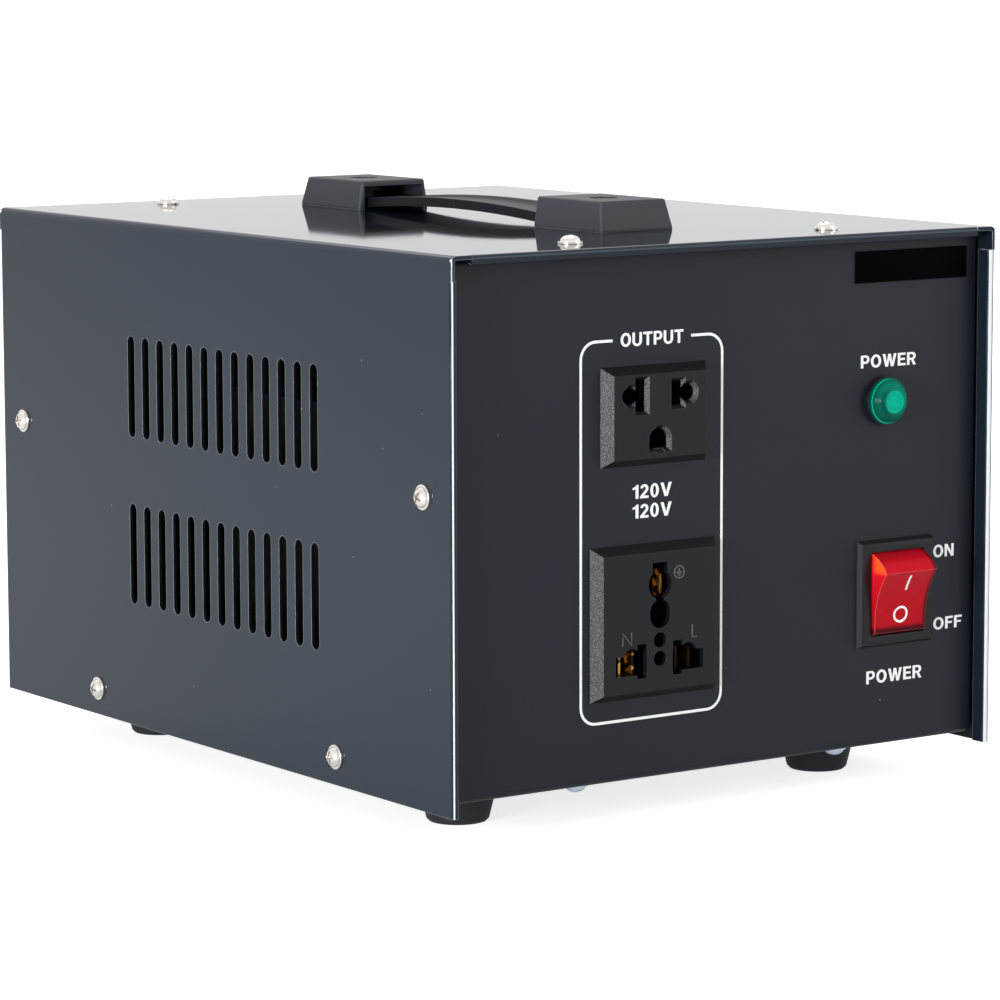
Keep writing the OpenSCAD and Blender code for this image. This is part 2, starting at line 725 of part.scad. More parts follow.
// Cutter for apertures through an outlet's face, and the lead-ins that widen them towards it
module through_face() translate([0, skin_back + over, 0]) rotate([90, 0, 0])
  linear_extrude(face_skin + 2 * over) children();
lead_in_over = lead_in * (1 + over / lead_in_d);
module square_lead_in(w, h) intersection() {
  translate([0, 0, -h]) linear_extrude(2 * h) polygon([[-w / 2, lead_in_d], [w / 2, lead_in_d],
    [w / 2 + lead_in_over, -over], [-w / 2 - lead_in_over, -over]]);
  translate([w, 0, 0]) rotate([0, -90, 0]) linear_extrude(2 * w) polygon([[-h / 2, lead_in_d],
    [h / 2, lead_in_d], [h / 2 + lead_in_over, -over], [-h / 2 - lead_in_over, -over]]);
}
module round_lead_in(d) translate([0, lead_in_d, 0]) rotate([90, 0, 0])
  cylinder(d1 = d, d2 = d + 2 * lead_in_over, h = lead_in_d + over);

// Rear half of an outlet: a cup closed at the back, with slots for the contact tabs at the given places
module outlet_cup(body_w, body_h, places) difference() {
  translate([-body_w / 2, sleeve_d, -body_h / 2]) cube([body_w, outlet_depth - sleeve_d, body_h]);
  translate([outlet_wall - body_w / 2, sleeve_d - over, outlet_wall - body_h / 2])
    cube([body_w - 2 * outlet_wall, outlet_depth - sleeve_d - outlet_wall + over,
      body_h - 2 * outlet_wall]);
  for (p = places) translate([p[0], outlet_depth, p[1]])
    cube([leaf_t + 2 * tab_gap, 4 * outlet_wall, tab_w + 2 * tab_gap], center = true);
}

// Sprung contact from y0 back: two leaves with flared mouths joined at the back, and a tab through the body
module contact(h, y0) {
  y1 = outlet_depth - outlet_wall;
  out = leaf_gap / 2 + leaf_t;
  translate([0, 0, -h / 2]) linear_extrude(h) for (s = [-1, 1]) polygon([
    [s * (leaf_gap / 2 + leaf_flare), y0], [s * (out + leaf_flare), y0],
    [s * out, y0 + leaf_flare + leaf_t], [s * out, y1], [0, y1],
    [0, y1 - leaf_t], [s * leaf_gap / 2, y1 - leaf_t],
    [s * leaf_gap / 2, y0 + leaf_flare + leaf_t]]);
  translate([-leaf_t / 2, y1 - leaf_t / 2, -tab_w / 2])
    cube([leaf_t, outlet_wall + tab_l + leaf_t / 2, tab_w]);
}

// Outlet for flat blades or two round pins, with an arched earth hole
duplex_blades = [for (s = [-1, 1]) [s * blade_pitch / 2, duplex_blade_up]];
duplex_tabs = concat(duplex_blades, [[0, -ground_down]]);
module duplex_slots() for (s = [-1, 1]) translate([s * blade_pitch / 2, 0, duplex_blade_up])
  square_lead_in(blade_w, s < 0 ? neutral_h : live_h);
module outlet_duplex_face() color(black) at_front(-outlet_x, duplex_z) difference() {
  outlet_shell(duplex_w, duplex_h, duplex_body_w, duplex_body_h);
  through_face() {
    for (s = [-1, 1]) translate([0, duplex_blade_up]) {
      translate([s * blade_pitch / 2, 0]) square([blade_w, s < 0 ? neutral_h : live_h], center = true);
      translate([s * duplex_pin_pitch / 2, 0]) circle(d = duplex_pin_d);
      translate([s * (blade_pitch + duplex_pin_pitch) / 4, 0])
        square([(duplex_pin_pitch - blade_pitch) / 2, blade_w], center = true);
    }
    translate([0, -ground_down]) intersection() {
      translate([0, (ground_h - ground_w) / 2]) circle(d = ground_w);
      square([ground_w, ground_h], center = true);
    }
    translate([0, -ground_down - ground_w / 4]) square([ground_w, ground_h - ground_w / 2], center = true);
  }
  translate([0, -outlet_proud, 0]) {
    duplex_slots();
    for (s = [-1, 1]) translate([s * duplex_pin_pitch / 2, 0, duplex_blade_up]) round_lead_in(duplex_pin_d);
    translate([0, 0, -ground_down + (ground_h - ground_w) / 2]) round_lead_in(ground_w);
    translate([0, 0, -ground_down - ground_w / 4]) square_lead_in(ground_w, ground_h - ground_w / 2);
  }
}
module outlet_duplex_back() color(black) at_front(-outlet_x, duplex_z)
  outlet_cup(duplex_body_w, duplex_body_h, duplex_tabs);
module outlet_duplex_contacts() color(brass) at_front(-outlet_x, duplex_z)
  for (p = duplex_tabs) translate([p[0], 0, p[1]])
    contact(duplex_leaf_h, outlet_depth - outlet_wall - leaf_d);

// Universal outlet: moulded apertures for flat, square and round pins
uni_tabs = [[-uni_pin_x, -uni_flat_down], [uni_pin_x, -uni_flat_down], [0, uni_earth_up1]];
module outlet_universal_face() color(black) at_front(-outlet_x, uni_z) difference() {
  outlet_shell(uni_w, uni_w, uni_body_w, uni_body_w);
  through_face() {
    translate([-uni_earth_w / 2, uni_earth_up1]) square([uni_earth_w, uni_earth_top - uni_earth_up1]);
    translate([0, uni_earth_up1]) circle(d = uni_earth_d1);
    translate([0, uni_earth_up2]) slot2d(uni_earth_d2, uni_earth_h2);
    translate([-uni_waist_w / 2, uni_earth_up2]) square([uni_waist_w, uni_earth_up1 - uni_earth_up2]);
    for (d = [uni_dot_down1, uni_dot_down2]) translate([0, -d]) circle(d = uni_dot_d);
    for (s = [-1, 1]) {
      translate([s * blade_pitch / 2, -uni_blade_down]) square([uni_blade_w, uni_blade_h], center = true);
      translate([s * (uni_flat_in + uni_flat_out) / 2, -uni_flat_down])
        square([uni_flat_out - uni_flat_in, uni_flat_h], center = true);
      translate([s * uni_pin_x, -uni_pin_down]) circle(d = uni_pin_d);
    }
  }
}
module outlet_universal_back() color(black) at_front(-outlet_x, uni_z)
  outlet_cup(uni_body_w, uni_body_w, uni_tabs);
module outlet_universal_contacts() color(brass) at_front(-outlet_x, uni_z)
  for (p = uni_tabs) translate([p[0], 0, p[1]]) contact(uni_leaf_h, skin_back + uni_leaf_space);

// Rocker switch: y = 0 on the panel, the pivot a little behind it
housing_w = rocker_w + 2 * rocker_gap + 2 * housing_wall;
housing_h = 2 * (rocker_r + rocker_gap + housing_end_wall);
rocker_half = sqrt(rocker_r * rocker_r - rocker_peak * rocker_peak);
dish_r = (rocker_half * rocker_half + rocker_dish * rocker_dish) / (2 * rocker_dish);
cavity_floor = housing_depth - housing_wall;
rocker_reach = rocker_half * sin(rocker_half_angle) + rocker_peak * cos(rocker_half_angle) - pivot_depth;
rear_reach = rocker_reach;
module at_switch() at_front(switch_x, switch_z) children();
module switch_housing() color(black) at_switch() difference() {
  union() {
    intersection() {
      translate([0, 0, -bezel_h / 2]) linear_extrude(bezel_h)
        polygon([[-bezel_w / 2, 0], [bezel_w / 2, 0], [bezel_w / 2 - bezel_edge, -bezel_proud],
          [bezel_edge - bezel_w / 2, -bezel_proud]]);
      translate([bezel_w / 2, 0, 0]) rotate([0, -90, 0]) linear_extrude(bezel_w)
        polygon([[-bezel_h / 2, 0], [bezel_h / 2, 0], [bezel_h / 2 - bezel_edge, -bezel_proud],
          [bezel_edge - bezel_h / 2, -bezel_proud]]);
    }
    translate([-housing_w / 2, -bezel_proud / 2, -housing_h / 2])
      cube([housing_w, housing_depth + bezel_proud / 2, housing_h]);
  }
  translate([0, pivot_depth, 0]) rotate([0, 90, 0])
    cylinder(r = rocker_r + rocker_gap, h = rocker_w + 2 * rocker_gap, center = true);
  translate([-rocker_w / 2 - rocker_gap, pivot_depth, -rocker_r - rocker_gap])
    cube([rocker_w + 2 * rocker_gap, cavity_floor - pivot_depth, 2 * (rocker_r + rocker_gap)]);
  translate([0, pivot_depth, 0]) rotate([0, 90, 0])
    cylinder(d = pivot_d + 2 * pin_gap, h = rocker_w + 4 * rocker_gap + 2 * pin_l, center = true);
  for (s = [-1, 1]) translate([0, housing_depth, s * spade_up])
    cube([spade_w + 2 * tab_gap, 4 * housing_wall, spade_t + 2 * tab_gap], center = true);
  for (s = [-1, 1]) translate([s * neon_l / 2 * neon_leg_share, cavity_floor - over, neon_up]) inwards()
    cylinder(d = neon_leg_d + 2 * tab_gap, h = housing_wall + 2 * over);
}

// Rocker with round end faces, a dished top and a hollow underside, turned to off
module switch_rocker() color([0.80, 0.10, 0.12]) at_switch() translate([0, pivot_depth, 0])
  rotate([rocker_half_angle, 0, 0]) {
    difference() {
      translate([rocker_w / 2, 0, 0]) rotate([0, -90, 0]) linear_extrude(rocker_w) difference() {
        circle(r = rocker_r);
        translate([0, -rocker_peak - dish_r + rocker_dish]) circle(r = dish_r);
        translate([-rocker_half, -rocker_r - over])
          square([2 * rocker_half, rocker_r + over - rocker_peak]);
        translate([-rocker_r - over, rocker_below]) square([2 * (rocker_r + over), rocker_r]);
      }
      translate([rocker_w / 2 - rocker_wall, 0, 0]) rotate([0, -90, 0])
        linear_extrude(rocker_w - 2 * rocker_wall) difference() {
          circle(r = rocker_r - rocker_wall);
          translate([0, -rocker_peak - dish_r + rocker_dish]) circle(r = dish_r + rocker_wall);
          translate([-rocker_r, -rocker_r - over])
            square([2 * rocker_r, rocker_r + over - rocker_peak + rocker_wall]);
        }
    }
    rotate([0, 90, 0]) cylinder(d = pivot_d, h = rocker_w + 2 * rocker_gap + 2 * pin_l, center = true);
  }

// Spade terminals, bedded in the housing's floor
module switch_terminals() color(brass) at_switch() for (s = [-1, 1])
  translate([-spade_w / 2, cavity_floor - spade_t, s * spade_up - spade_t / 2])
    cube([spade_w, housing_wall + spade_t + spade_l, spade_t]);

// Neon lamp under the rocker on two legs
module switch_lamp() color([0.95, 0.55, 0.25]) at_switch() {
  translate([0, pivot_depth + neon_deep, neon_up]) rotate([0, 90, 0])
    cylinder(d = neon_d, h = neon_l, center = true);
  for (s = [-1, 1]) translate([s * neon_l / 2 * neon_leg_share, pivot_depth + neon_deep, neon_up]) inwards()
    cylinder(d = neon_leg_d, h = cavity_floor + housing_wall - pivot_depth - neon_deep);
}

// Pilot lamp: a ringed lens with a serrated rim on a threaded body
lens_face = lens_proud - lens_ring_h;
module at_lamp() at_front(lamp_x, lamp_z) children();
module lamp_lens() color([0.05, 0.55, 0.42]) at_lamp() translate([0, -lamp_flange_h, 0])
  rotate([90, 0, 0]) {
  dome = lens_d * lens_dome_d_share / 2;
  disc = lens_d * lens_disc_d_share / 2;
  top = lens_face - lamp_flange_h;
  difference() {
    cylinder(d = lens_d, h = lens_rim_h);
    for (i = [0 : lens_teeth - 1]) rotate(i * 360 / lens_teeth) translate([lens_d / 2, 0, -over])
      cylinder(d = lens_tooth_d, h = lens_rim_h + 2 * over, $fn = 12);
  }
  rotate_extrude() polygon([[0, 0], [dome, 0], [dome, lens_rim_h + lens_step_h],
    [disc + lens_ring_h, top], [disc, top],
    [disc, top + lens_ring_h], [disc * 0.8, top + lens_ring_h], [disc * 0.7, top], [disc * 0.5, top],
    [disc * 0.4, top + lens_ring_h], [0, top + lens_ring_h]]);
  translate([0, 0, -lens_spigot_l]) cylinder(d = lens_spigot_d, h = lens_spigot_l + lens_rim_h / 2);
}
module lamp_body() color(black) at_lamp() inwards() difference() {
  union() {
    translate([0, 0, -lamp_flange_h]) cylinder(d = lamp_flange_d, h = lamp_flange_h);
    cylinder(d = lamp_body_d, h = lamp_body_l);
  }
  translate([0, 0, -lamp_flange_h - over])
    cylinder(d = lens_spigot_d + 2 * pin_gap, h = lens_spigot_l + 2 * lamp_flange_h + over);
}
module lamp_nut() color(zinc) at_lamp() translate([0, sheet_t, 0]) inwards()
  hex_nut(lamp_body_d, lamp_body_d * 1.25, lamp_nut_h);
module lamp_terminals() color(brass) at_lamp() for (s = [-1, 1])
  translate([s * lamp_body_d / 4 - leaf_t / 2, lamp_body_l, -lamp_pin_w / 2])
    cube([leaf_t, lamp_pin_l, lamp_pin_w]);

// Rear fuse holder with a quarter-turn cap that carries the fuse
fuse_floor = fuse_stem_l - fuse_flange_h + fuse_l - fuse_socket_l;
module at_fuse() at_rear(fuse_x, fuse_z) children();
module fuse_holder_body() color(black) at_fuse() inwards() difference() {
  union() {
    translate([0, 0, -fuse_flange_h]) cylinder(d = fuse_flange_d, h = fuse_flange_h);
    cylinder(d = fuse_barrel_d, h = fuse_barrel_l);
  }
  translate([0, 0, -fuse_flange_h - over]) cylinder(d = fuse_stem_d + 2 * pin_gap, h = fuse_stem_l + over);
  cylinder(d = fuse_d + 2 * fuse_gap, h = fuse_floor + leaf_t);
  translate([0, 0, fuse_floor]) cylinder(d = fuse_contact_leg_d + 2 * thread_gap, h = fuse_barrel_l);
}
module fuse_holder_nut() color(black) at_fuse() translate([0, sheet_t, 0]) inwards()
  hex_nut(fuse_barrel_d, fuse_barrel_d * 1.35, fuse_nut_h);
module fuse_cap() color(black) at_fuse() translate([0, -fuse_flange_h, 0]) inwards() difference() {
  union() {
    difference() {
      translate([0, 0, fuse_flange_h - rear_reach])
        cylinder(d1 = fuse_cap_tip_d, d2 = fuse_flange_d - 2 * fuse_rib_d, h = rear_reach - fuse_flange_h);
      for (i = [0 : fuse_ribs - 1]) rotate(i * 360 / fuse_ribs)
        translate([(fuse_cap_tip_d + fuse_flange_d) / 4, 0, fuse_flange_h - rear_reach - over])
          cylinder(d = fuse_rib_d, h = rear_reach, $fn = 16);
    }
    cylinder(d = fuse_stem_d, h = fuse_stem_l - fit_gap);
  }
  translate([0, 0, fuse_stem_l - fuse_socket_l])
    cylinder(d = fuse_d + 2 * pin_gap, h = fuse_socket_l + over);
  translate([0, 0, fuse_flange_h - rear_reach])
    cube([fuse_cap_tip_d * 0.8, fuse_cap_slot_w, 2 * fuse_cap_slot_h], center = true);
}
module at_fuse_link() at_fuse() translate([0, fuse_stem_l - fuse_flange_h - fuse_socket_l, 0]) inwards()
  children();
module fuse_glass() color([0.85, 0.90, 0.92]) at_fuse_link()
  translate([0, 0, leaf_t]) cylinder(d = fuse_glass_d, h = fuse_l - 2 * leaf_t);
module fuse_ends() color(nickel) at_fuse_link() for (z = [0, fuse_l - fuse_end_l]) translate([0, 0, z])
  difference() {
    cylinder(d = fuse_d, h = fuse_end_l);
    translate([0, 0, z == 0 ? leaf_t : -over])
      cylinder(d = fuse_glass_d + 2 * thread_gap, h = fuse_end_l - leaf_t + over);
  }
module fuse_contacts() color(brass) at_fuse() inwards() {
  translate([0, 0, fuse_floor]) cylinder(d = fuse_d, h = leaf_t);
  translate([0, 0, fuse_floor]) cylinder(d = fuse_contact_leg_d,
    h = fuse_barrel_l - fuse_floor + lamp_pin_l);
}

// Cord gland, left open because no cord shows
module at_gland() at_rear(-gland_x, gland_z) children();
module cord_gland() color(black) at_gland() inwards() difference() {
  union() {
    translate([0, 0, -gland_hex_h]) cylinder(d = gland_hex_w / cos(30), h = gland_hex_h, $fn = 6);
    translate([0, 0, -rear_reach]) cylinder(d1 = gland_tip_d, d2 = gland_hex_w,
      h = rear_reach - gland_hex_h);
    cylinder(d = gland_thread_d, h = gland_thread_l);
  }
  translate([0, 0, -rear_reach - over]) cylinder(d = gland_bore,
    h = rear_reach + gland_thread_l + 2 * over);
}
module cord_gland_nut() color(black) at_gland() translate([0, sheet_t, 0]) inwards()
  hex_nut(gland_thread_d, gland_nut_hex_w, gland_nut_h);

// EI core: x across, z up, its middle leg inside the coil
leg_w = core_w * leg_share;
yoke = core_w * yoke_share;
window_h = core_w * window_share;
bolt_inset = core_w * bolt_corner_share;
module at_core() translate([core_x, core_y, foot_h + base_t]) children();
module core_bolt_places() for (s = [-1, 1], z = [bolt_inset, core_h - bolt_inset])
  translate([s * (core_w / 2 - bolt_inset), 0, z]) children();
module stack_plate() rotate([90, 0, 0]) linear_extrude(core_stack, center = true) children();
module core_e() color(steel) at_core() difference() {
  stack_plate() {
    translate([-core_w / 2, 0]) square([core_w, yoke]);
    for (s = [-1, 1]) translate([s * (core_w - yoke) / 2 - yoke / 2, 0]) square([yoke, yoke + window_h]);
    translate([-leg_w / 2, 0]) square([leg_w, yoke + window_h]);
  }
  core_bolt_places() rotate([90, 0, 0]) cylinder(d = core_bolt_d + 2 * fit_gap,
    h = core_stack + 2 * over, center = true);
}
module core_i() color(steel) at_core() difference() {
  stack_plate() translate([-core_w / 2, yoke + window_h]) square([core_w, yoke]);
  core_bolt_places() rotate([90, 0, 0]) cylinder(d = core_bolt_d + 2 * fit_gap,
    h = core_stack + 2 * over, center = true);
}

// Two-section bobbin on the middle leg, with the windings in its sections and a wrap over each
coil_z0 = yoke + coil_gap;
coil_h = window_h - 2 * coil_gap;
tube_w = leg_w + 2 * coil_gap;
tube_d = core_stack + 2 * coil_gap;
build_up = core_w * yoke_share - coil_side_gap;
section_h = (coil_h - 3 * flange_wall) / 2;
wire_build = build_up - bobbin_wall - coil_gap - wrap_t - coil_side_gap;
module ring2d(inner_w, inner_d, wall, inner_r) difference() {
  round_rect(inner_w + 2 * wall, inner_d + 2 * wall, inner_r + wall);
  if (inner_r > 0) round_rect(inner_w, inner_d, inner_r);
  else square([inner_w, inner_d], center = true);
}
module bobbin() color([0.85, 0.83, 0.76]) at_core() translate([0, 0, coil_z0]) {
  linear_extrude(coil_h) ring2d(tube_w, tube_d, bobbin_wall, 0);
  for (z = [0, flange_wall + section_h, 2 * (flange_wall + section_h)]) translate([0, 0, z])
    linear_extrude(flange_wall) ring2d(tube_w, tube_d, build_up - coil_gap, 0);
}
wind_w = tube_w + 2 * bobbin_wall;
wind_d = tube_d + 2 * bobbin_wall;
module winding(level, thick) at_core() translate([0, 0,
  coil_z0 + flange_wall + level * (section_h + flange_wall)])
  linear_extrude(section_h) difference() {
    round_rect(wind_w + 2 * thick, wind_d + 2 * thick, coil_edge_r);
    square([wind_w, wind_d], center = true);
  }
module primary_winding() color([0.72, 0.35, 0.16]) winding(0, wire_build);
module secondary_winding() color([0.78, 0.42, 0.20]) winding(1, wire_build);
module winding_wrap() color([0.90, 0.78, 0.35]) at_core() for (level = [0, 1])
  translate([0, 0, coil_z0 + flange_wall + level * (section_h + flange_wall)])
    linear_extrude(section_h) difference() {
      round_rect(wind_w + 2 * (wire_build + wrap_t), wind_d + 2 * (wire_build + wrap_t),
        coil_edge_r + wrap_t);
      round_rect(wind_w + 2 * wire_build, wind_d + 2 * wire_build, coil_edge_r);
    }

// Angle brackets that hold the core down, front and rear
bracket_h = yoke - bracket_below;
module mount_places() on_core_base() for (s = [-1, 1], e = [-1, 1])
  translate([s * (core_w / 2 - mount_inset), e * (core_stack / 2 + bracket_t + bracket_foot / 2),
    tray_z + base_t]) children();
module on_core_base() translate([core_x, core_y, 0]) children();
module core_brackets() color(zinc) difference() {
  at_core() for (e = [-1, 1]) {
    translate([0, e * (core_stack + bracket_t) / 2, bracket_h / 2])
      cube([core_w, bracket_t, bracket_h], center = true);
    translate([0, e * (core_stack / 2 + bracket_foot / 2), bracket_t / 2])
      cube([core_w, bracket_foot, bracket_t], center = true);
  }
  at_core() core_bolt_places() rotate([90, 0, 0])
    cylinder(d = core_bolt_d + 2 * fit_gap, h = core_stack + 2 * bracket_t + 2 * over, center = true);
  on_feet() mount_places() translate([0, 0, -over])
    cylinder(d = mount_screw_d + 2 * fit_gap, h = bracket_t + 2 * over);
}

// Core bolts along y: the lower pair also clamps the brackets
core_seat = [for (z = [0, 1]) core_stack / 2 + (z == 0 ? bracket_t : 0)];
module core_bolts() color(zinc) at_core() for (s = [-1, 1], i = [0, 1])
  translate([s * (core_w / 2 - bolt_inset), -core_seat[i], i == 0 ? bolt_inset : core_h - bolt_inset])
    rotate([-90, 0, 0]) {
      cylinder(d = core_bolt_d, h = 2 * core_seat[i] + core_nut_h + over);
      translate([0, 0, -core_head_h]) cylinder(d = core_bolt_d * nut_flat_share / cos(30),
        h = core_head_h, $fn = 6);
    }
module core_nuts() color(zinc) at_core() for (s = [-1, 1], i = [0, 1])
  translate([s * (core_w / 2 - bolt_inset), core_seat[i], i == 0 ? bolt_inset : core_h - bolt_inset])
    rotate([-90, 0, 0]) hex_nut(core_bolt_d, core_bolt_d * nut_flat_share, core_nut_h);
mount_nut_h = mount_screw_d * nut_h_share;
module mount_screws() color(zinc) on_feet() mount_places() translate([0, 0, -base_t]) mirror([0, 0, 1])
  pan_screw(mount_screw_d, screw_head_d, screw_head_h, base_t + bracket_t + mount_nut_h + over);
module mount_nuts() color(zinc) on_feet() mount_places() translate([0, 0, bracket_t])
  hex_nut(mount_screw_d, mount_screw_d * nut_flat_share, mount_nut_h);

// Terminal block on the tray
block_w = block_poles * block_pitch + block_rib_t;
block_tap_d = block_screw_d + 2 * thread_gap;
module at_block() translate([block_x, block_y, foot_h + base_t]) children();
module block_places() translate([block_x, block_y, tray_z]) for (s = [-1, 1])
  translate([s * (block_w + block_ear) / 2, 0, 0]) children();
module pole_places() for (i = [0 : block_poles - 1], e = [-1, 1])
  translate([(i - (block_poles - 1) / 2) * block_pitch, e * block_d / 4, block_base_h + block_plate_t])
    children();
module terminal_block() color(black) difference() {
  at_block() {
    translate([0, 0, block_base_h / 2]) cube([block_w, block_d, block_base_h], center = true);
    translate([0, 0, block_ear_h / 2]) cube([block_w + 2 * block_ear, block_d / 2, block_ear_h],
      center = true);
    for (i = [0 : block_poles]) translate([(i - block_poles / 2) * block_pitch, 0, block_rib_h / 2])
      cube([block_rib_t, block_d, block_rib_h], center = true);
  }
  at_block() pole_places() translate([0, 0, -block_tap_deep])
    cylinder(d = block_tap_d, h = block_tap_deep + over);
  on_feet() block_places() cylinder(d = block_tap_d, h = block_ear_h + base_t + over);
}
module terminal_plates() color(brass) at_block() difference() {
  for (i = [0 : block_poles - 1])
    translate([(i - (block_poles - 1) / 2) * block_pitch, 0, block_base_h + block_plate_t / 2])
      cube([block_plate_w, block_d - 2 * block_rib_t, block_plate_t], center = true);
  pole_places() translate([0, 0, -block_tap_deep]) cylinder(d = block_tap_d, h = block_tap_deep + over);
}
module terminal_screws() color(nickel) at_block() pole_places()
  pan_screw(block_screw_d, block_plate_w * 0.9, screw_head_h, block_tap_deep - block_plate_t);
module block_screws() color(zinc) on_feet() block_places() translate([0, 0, base_t + block_ear_h])
  pan_screw(block_screw_d, block_plate_w, screw_head_h, base_t + block_ear_h);

// Leads: round insulated wire swept along a smooth curve from a to b, leaving a and reaching b along y
function lead_point(a, b, bend, t) = let (p = a - [0, bend, 0], q = b + [0, bend, 0], u = 1 - t)
  u * u * u * a + 3 * u * u * t * p + 3 * u * t * t * q + t * t * t * b;
function lead_ring(a, b, bend, i) = let (
    d = lead_point(a, b, bend, min(1, (i + 1) / lead_steps))
      - lead_point(a, b, bend, max(0, (i - 1) / lead_steps)),
    along = (i == 0 || i == lead_steps) ? [0, -1, 0] : d / norm(d),
    side = cross([0, 0, 1], along) / norm(cross([0, 0, 1], along)),
    up = cross(along, side))
  [for (k = [0 : lead_sides - 1]) lead_point(a, b, bend, i / lead_steps)
    + lead_d / 2 * (cos(k * 360 / lead_sides) * side + sin(k * 360 / lead_sides) * up)];
module lead(a, b, bend) {
  n = lead_sides;
  points = [for (i = [0 : lead_steps]) each lead_ring(a, b, bend, i)];
  sides = [for (i = [0 : lead_steps - 1], k = [0 : n - 1]) each [
    [i * n + k, (i + 1) * n + k, i * n + (k + 1) % n],
    [i * n + (k + 1) % n, (i + 1) * n + k, (i + 1) * n + (k + 1) % n]]];
  polyhedron(points, concat(sides, [[for (k = [0 : n - 1]) k],
    [for (k = [n - 1 : -1 : 0]) lead_steps * n + k]]));
}
coil_front = core_y - (wind_d / 2 + wire_build + wrap_t);
tail_y = front_y + outlet_depth + tab_l;
function lead_z(level) = foot_h + base_t + coil_z0 + flange_wall + level * (section_h + flange_wall)
  + section_h / 2;
block_edge_y = block_y + block_d / 2;
module primary_leads() color([0.15, 0.15, 0.16]) for (s = [-1, 1])
  lead([core_x + (s - 2) * block_pitch / 2, coil_front, lead_z(0)],
    [block_x + (block_poles - 2 + s) * block_pitch / 2, block_edge_y, foot_h + base_t + block_base_h / 2],
    (coil_front - block_edge_y) / 2);
module secondary_leads() color([0.70, 0.12, 0.10]) for (s = [-1, 1])
  lead([core_x + s * block_pitch, coil_front, lead_z(1)],
    [-outlet_x + s * uni_pin_x, tail_y, case_z + uni_z - uni_flat_down], (coil_front - tail_y) / 3);

// Earth stud on the tray with its nut
module earth_stud() color(brass) translate([earth_x, earth_y, foot_h + base_t])
  cylinder(d = earth_d, h = earth_h);
module earth_nut() color(brass) translate([earth_x, earth_y, foot_h + base_t])
  hex_nut(earth_d, earth_d * nut_flat_share, earth_d * nut_h_share);

cover();
front_panel();
rear_panel();
base_plate();
rubber_feet();
foot_screws();
foot_nuts();
cover_top_screws();
cover_side_screws();
panel_base_screws();
clinch_nuts();
handle_cap_front();
handle_cap_rear();
handle_strap();
handle_screws();
handle_nuts();
outlet_duplex_face();
outlet_duplex_back();
outlet_duplex_contacts();
outlet_universal_face();
outlet_universal_back();
outlet_universal_contacts();
switch_housing();
switch_rocker();
switch_terminals();
switch_lamp();
lamp_lens();
lamp_body();
lamp_nut();
lamp_terminals();
fuse_holder_body();
fuse_holder_nut();
fuse_cap();
fuse_glass();
fuse_ends();
fuse_contacts();
cord_gland();
cord_gland_nut();
core_e();
core_i();
bobbin();
primary_winding();
secondary_winding();
winding_wrap();
core_brackets();
core_bolts();
core_nuts();
mount_screws();
mount_nuts();
terminal_block();
terminal_plates();
terminal_screws();
block_screws();
primary_leads();
secondary_leads();
earth_stud();
earth_nut();
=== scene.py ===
"""Finishes and fine pieces of a bench isolation transformer, set round its CAD frame."""

import json
import math
from functools import partialmethod

import bmesh
import bpy
from bpy.props import FloatProperty, FloatVectorProperty, IntProperty, PointerProperty
from mathutils import Matrix, Vector


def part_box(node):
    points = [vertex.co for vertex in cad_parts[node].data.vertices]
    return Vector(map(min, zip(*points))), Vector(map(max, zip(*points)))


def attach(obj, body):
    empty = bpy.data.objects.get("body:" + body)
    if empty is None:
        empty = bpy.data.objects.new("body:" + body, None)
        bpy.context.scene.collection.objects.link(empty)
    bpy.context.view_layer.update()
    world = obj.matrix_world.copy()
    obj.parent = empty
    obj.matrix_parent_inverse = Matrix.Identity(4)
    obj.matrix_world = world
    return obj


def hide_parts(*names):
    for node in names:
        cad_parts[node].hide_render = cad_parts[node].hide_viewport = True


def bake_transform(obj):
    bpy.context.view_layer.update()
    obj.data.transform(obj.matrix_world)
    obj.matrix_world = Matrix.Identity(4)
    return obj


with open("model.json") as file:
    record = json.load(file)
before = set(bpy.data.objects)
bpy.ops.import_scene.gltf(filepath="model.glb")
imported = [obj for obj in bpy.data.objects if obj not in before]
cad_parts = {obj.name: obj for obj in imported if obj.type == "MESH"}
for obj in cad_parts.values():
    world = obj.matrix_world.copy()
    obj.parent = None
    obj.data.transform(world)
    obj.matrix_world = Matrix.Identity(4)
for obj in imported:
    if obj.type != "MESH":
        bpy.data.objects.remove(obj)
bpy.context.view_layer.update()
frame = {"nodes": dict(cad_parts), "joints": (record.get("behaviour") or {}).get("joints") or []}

bl_info = {
    "name": "Isolation Transformer Dressing",
    "version": (1, 0, 0),
    "blender": (4, 5, 0),
    "location": "3D View > Sidebar > Transformer",
    "description": "Finishes and fine pieces of a bench isolation transformer",
    "category": "Object",
}

MM = 0.001
NODES = frame["nodes"]
CASE_BODY = "case_body"

# Places that the frame gives
PANEL_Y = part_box("front_panel")[0].y
CASE_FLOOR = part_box("cover")[0].z
CASE_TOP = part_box("cover")[1].z
CASE_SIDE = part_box("cover")[1].x

# Closeness at which two vertices of a copied CAD mesh are one
MERGE = 1e-7
# Angle between two faces past which their edge stays sharp
CREASE = math.radians(35)


def display(red, green, blue):
    """Linear colour of a screen colour given from 0 to 255."""
    return tuple(
        v / 12.92 if v <= 0.04045 else ((v + 0.055) / 1.055) ** 2.4
        for v in (red / 255, green / 255, blue / 255)
    )


# Pale shades for lightened edges: the first two partly rubbed paint and rubbed plastic and partly a painted
# edge highlight, the last the pale steel of a painted highlight along the cover's hems
RUBBED_AND_LIT_PAINT = display(175, 180, 190)
RUBBED_AND_LIT_PLASTIC = display(190, 194, 200)
HEM_HIGHLIGHT_STEEL = display(225, 228, 232)
# How far a face may lean: past one share it slopes, up to the other it isn't quite flat
SLOPES, FLAT = 0.3, 0.97


def number(name, description, default, **options):
    """A number that a user can change."""
    return FloatProperty(name=name, description=description, default=default, **options)


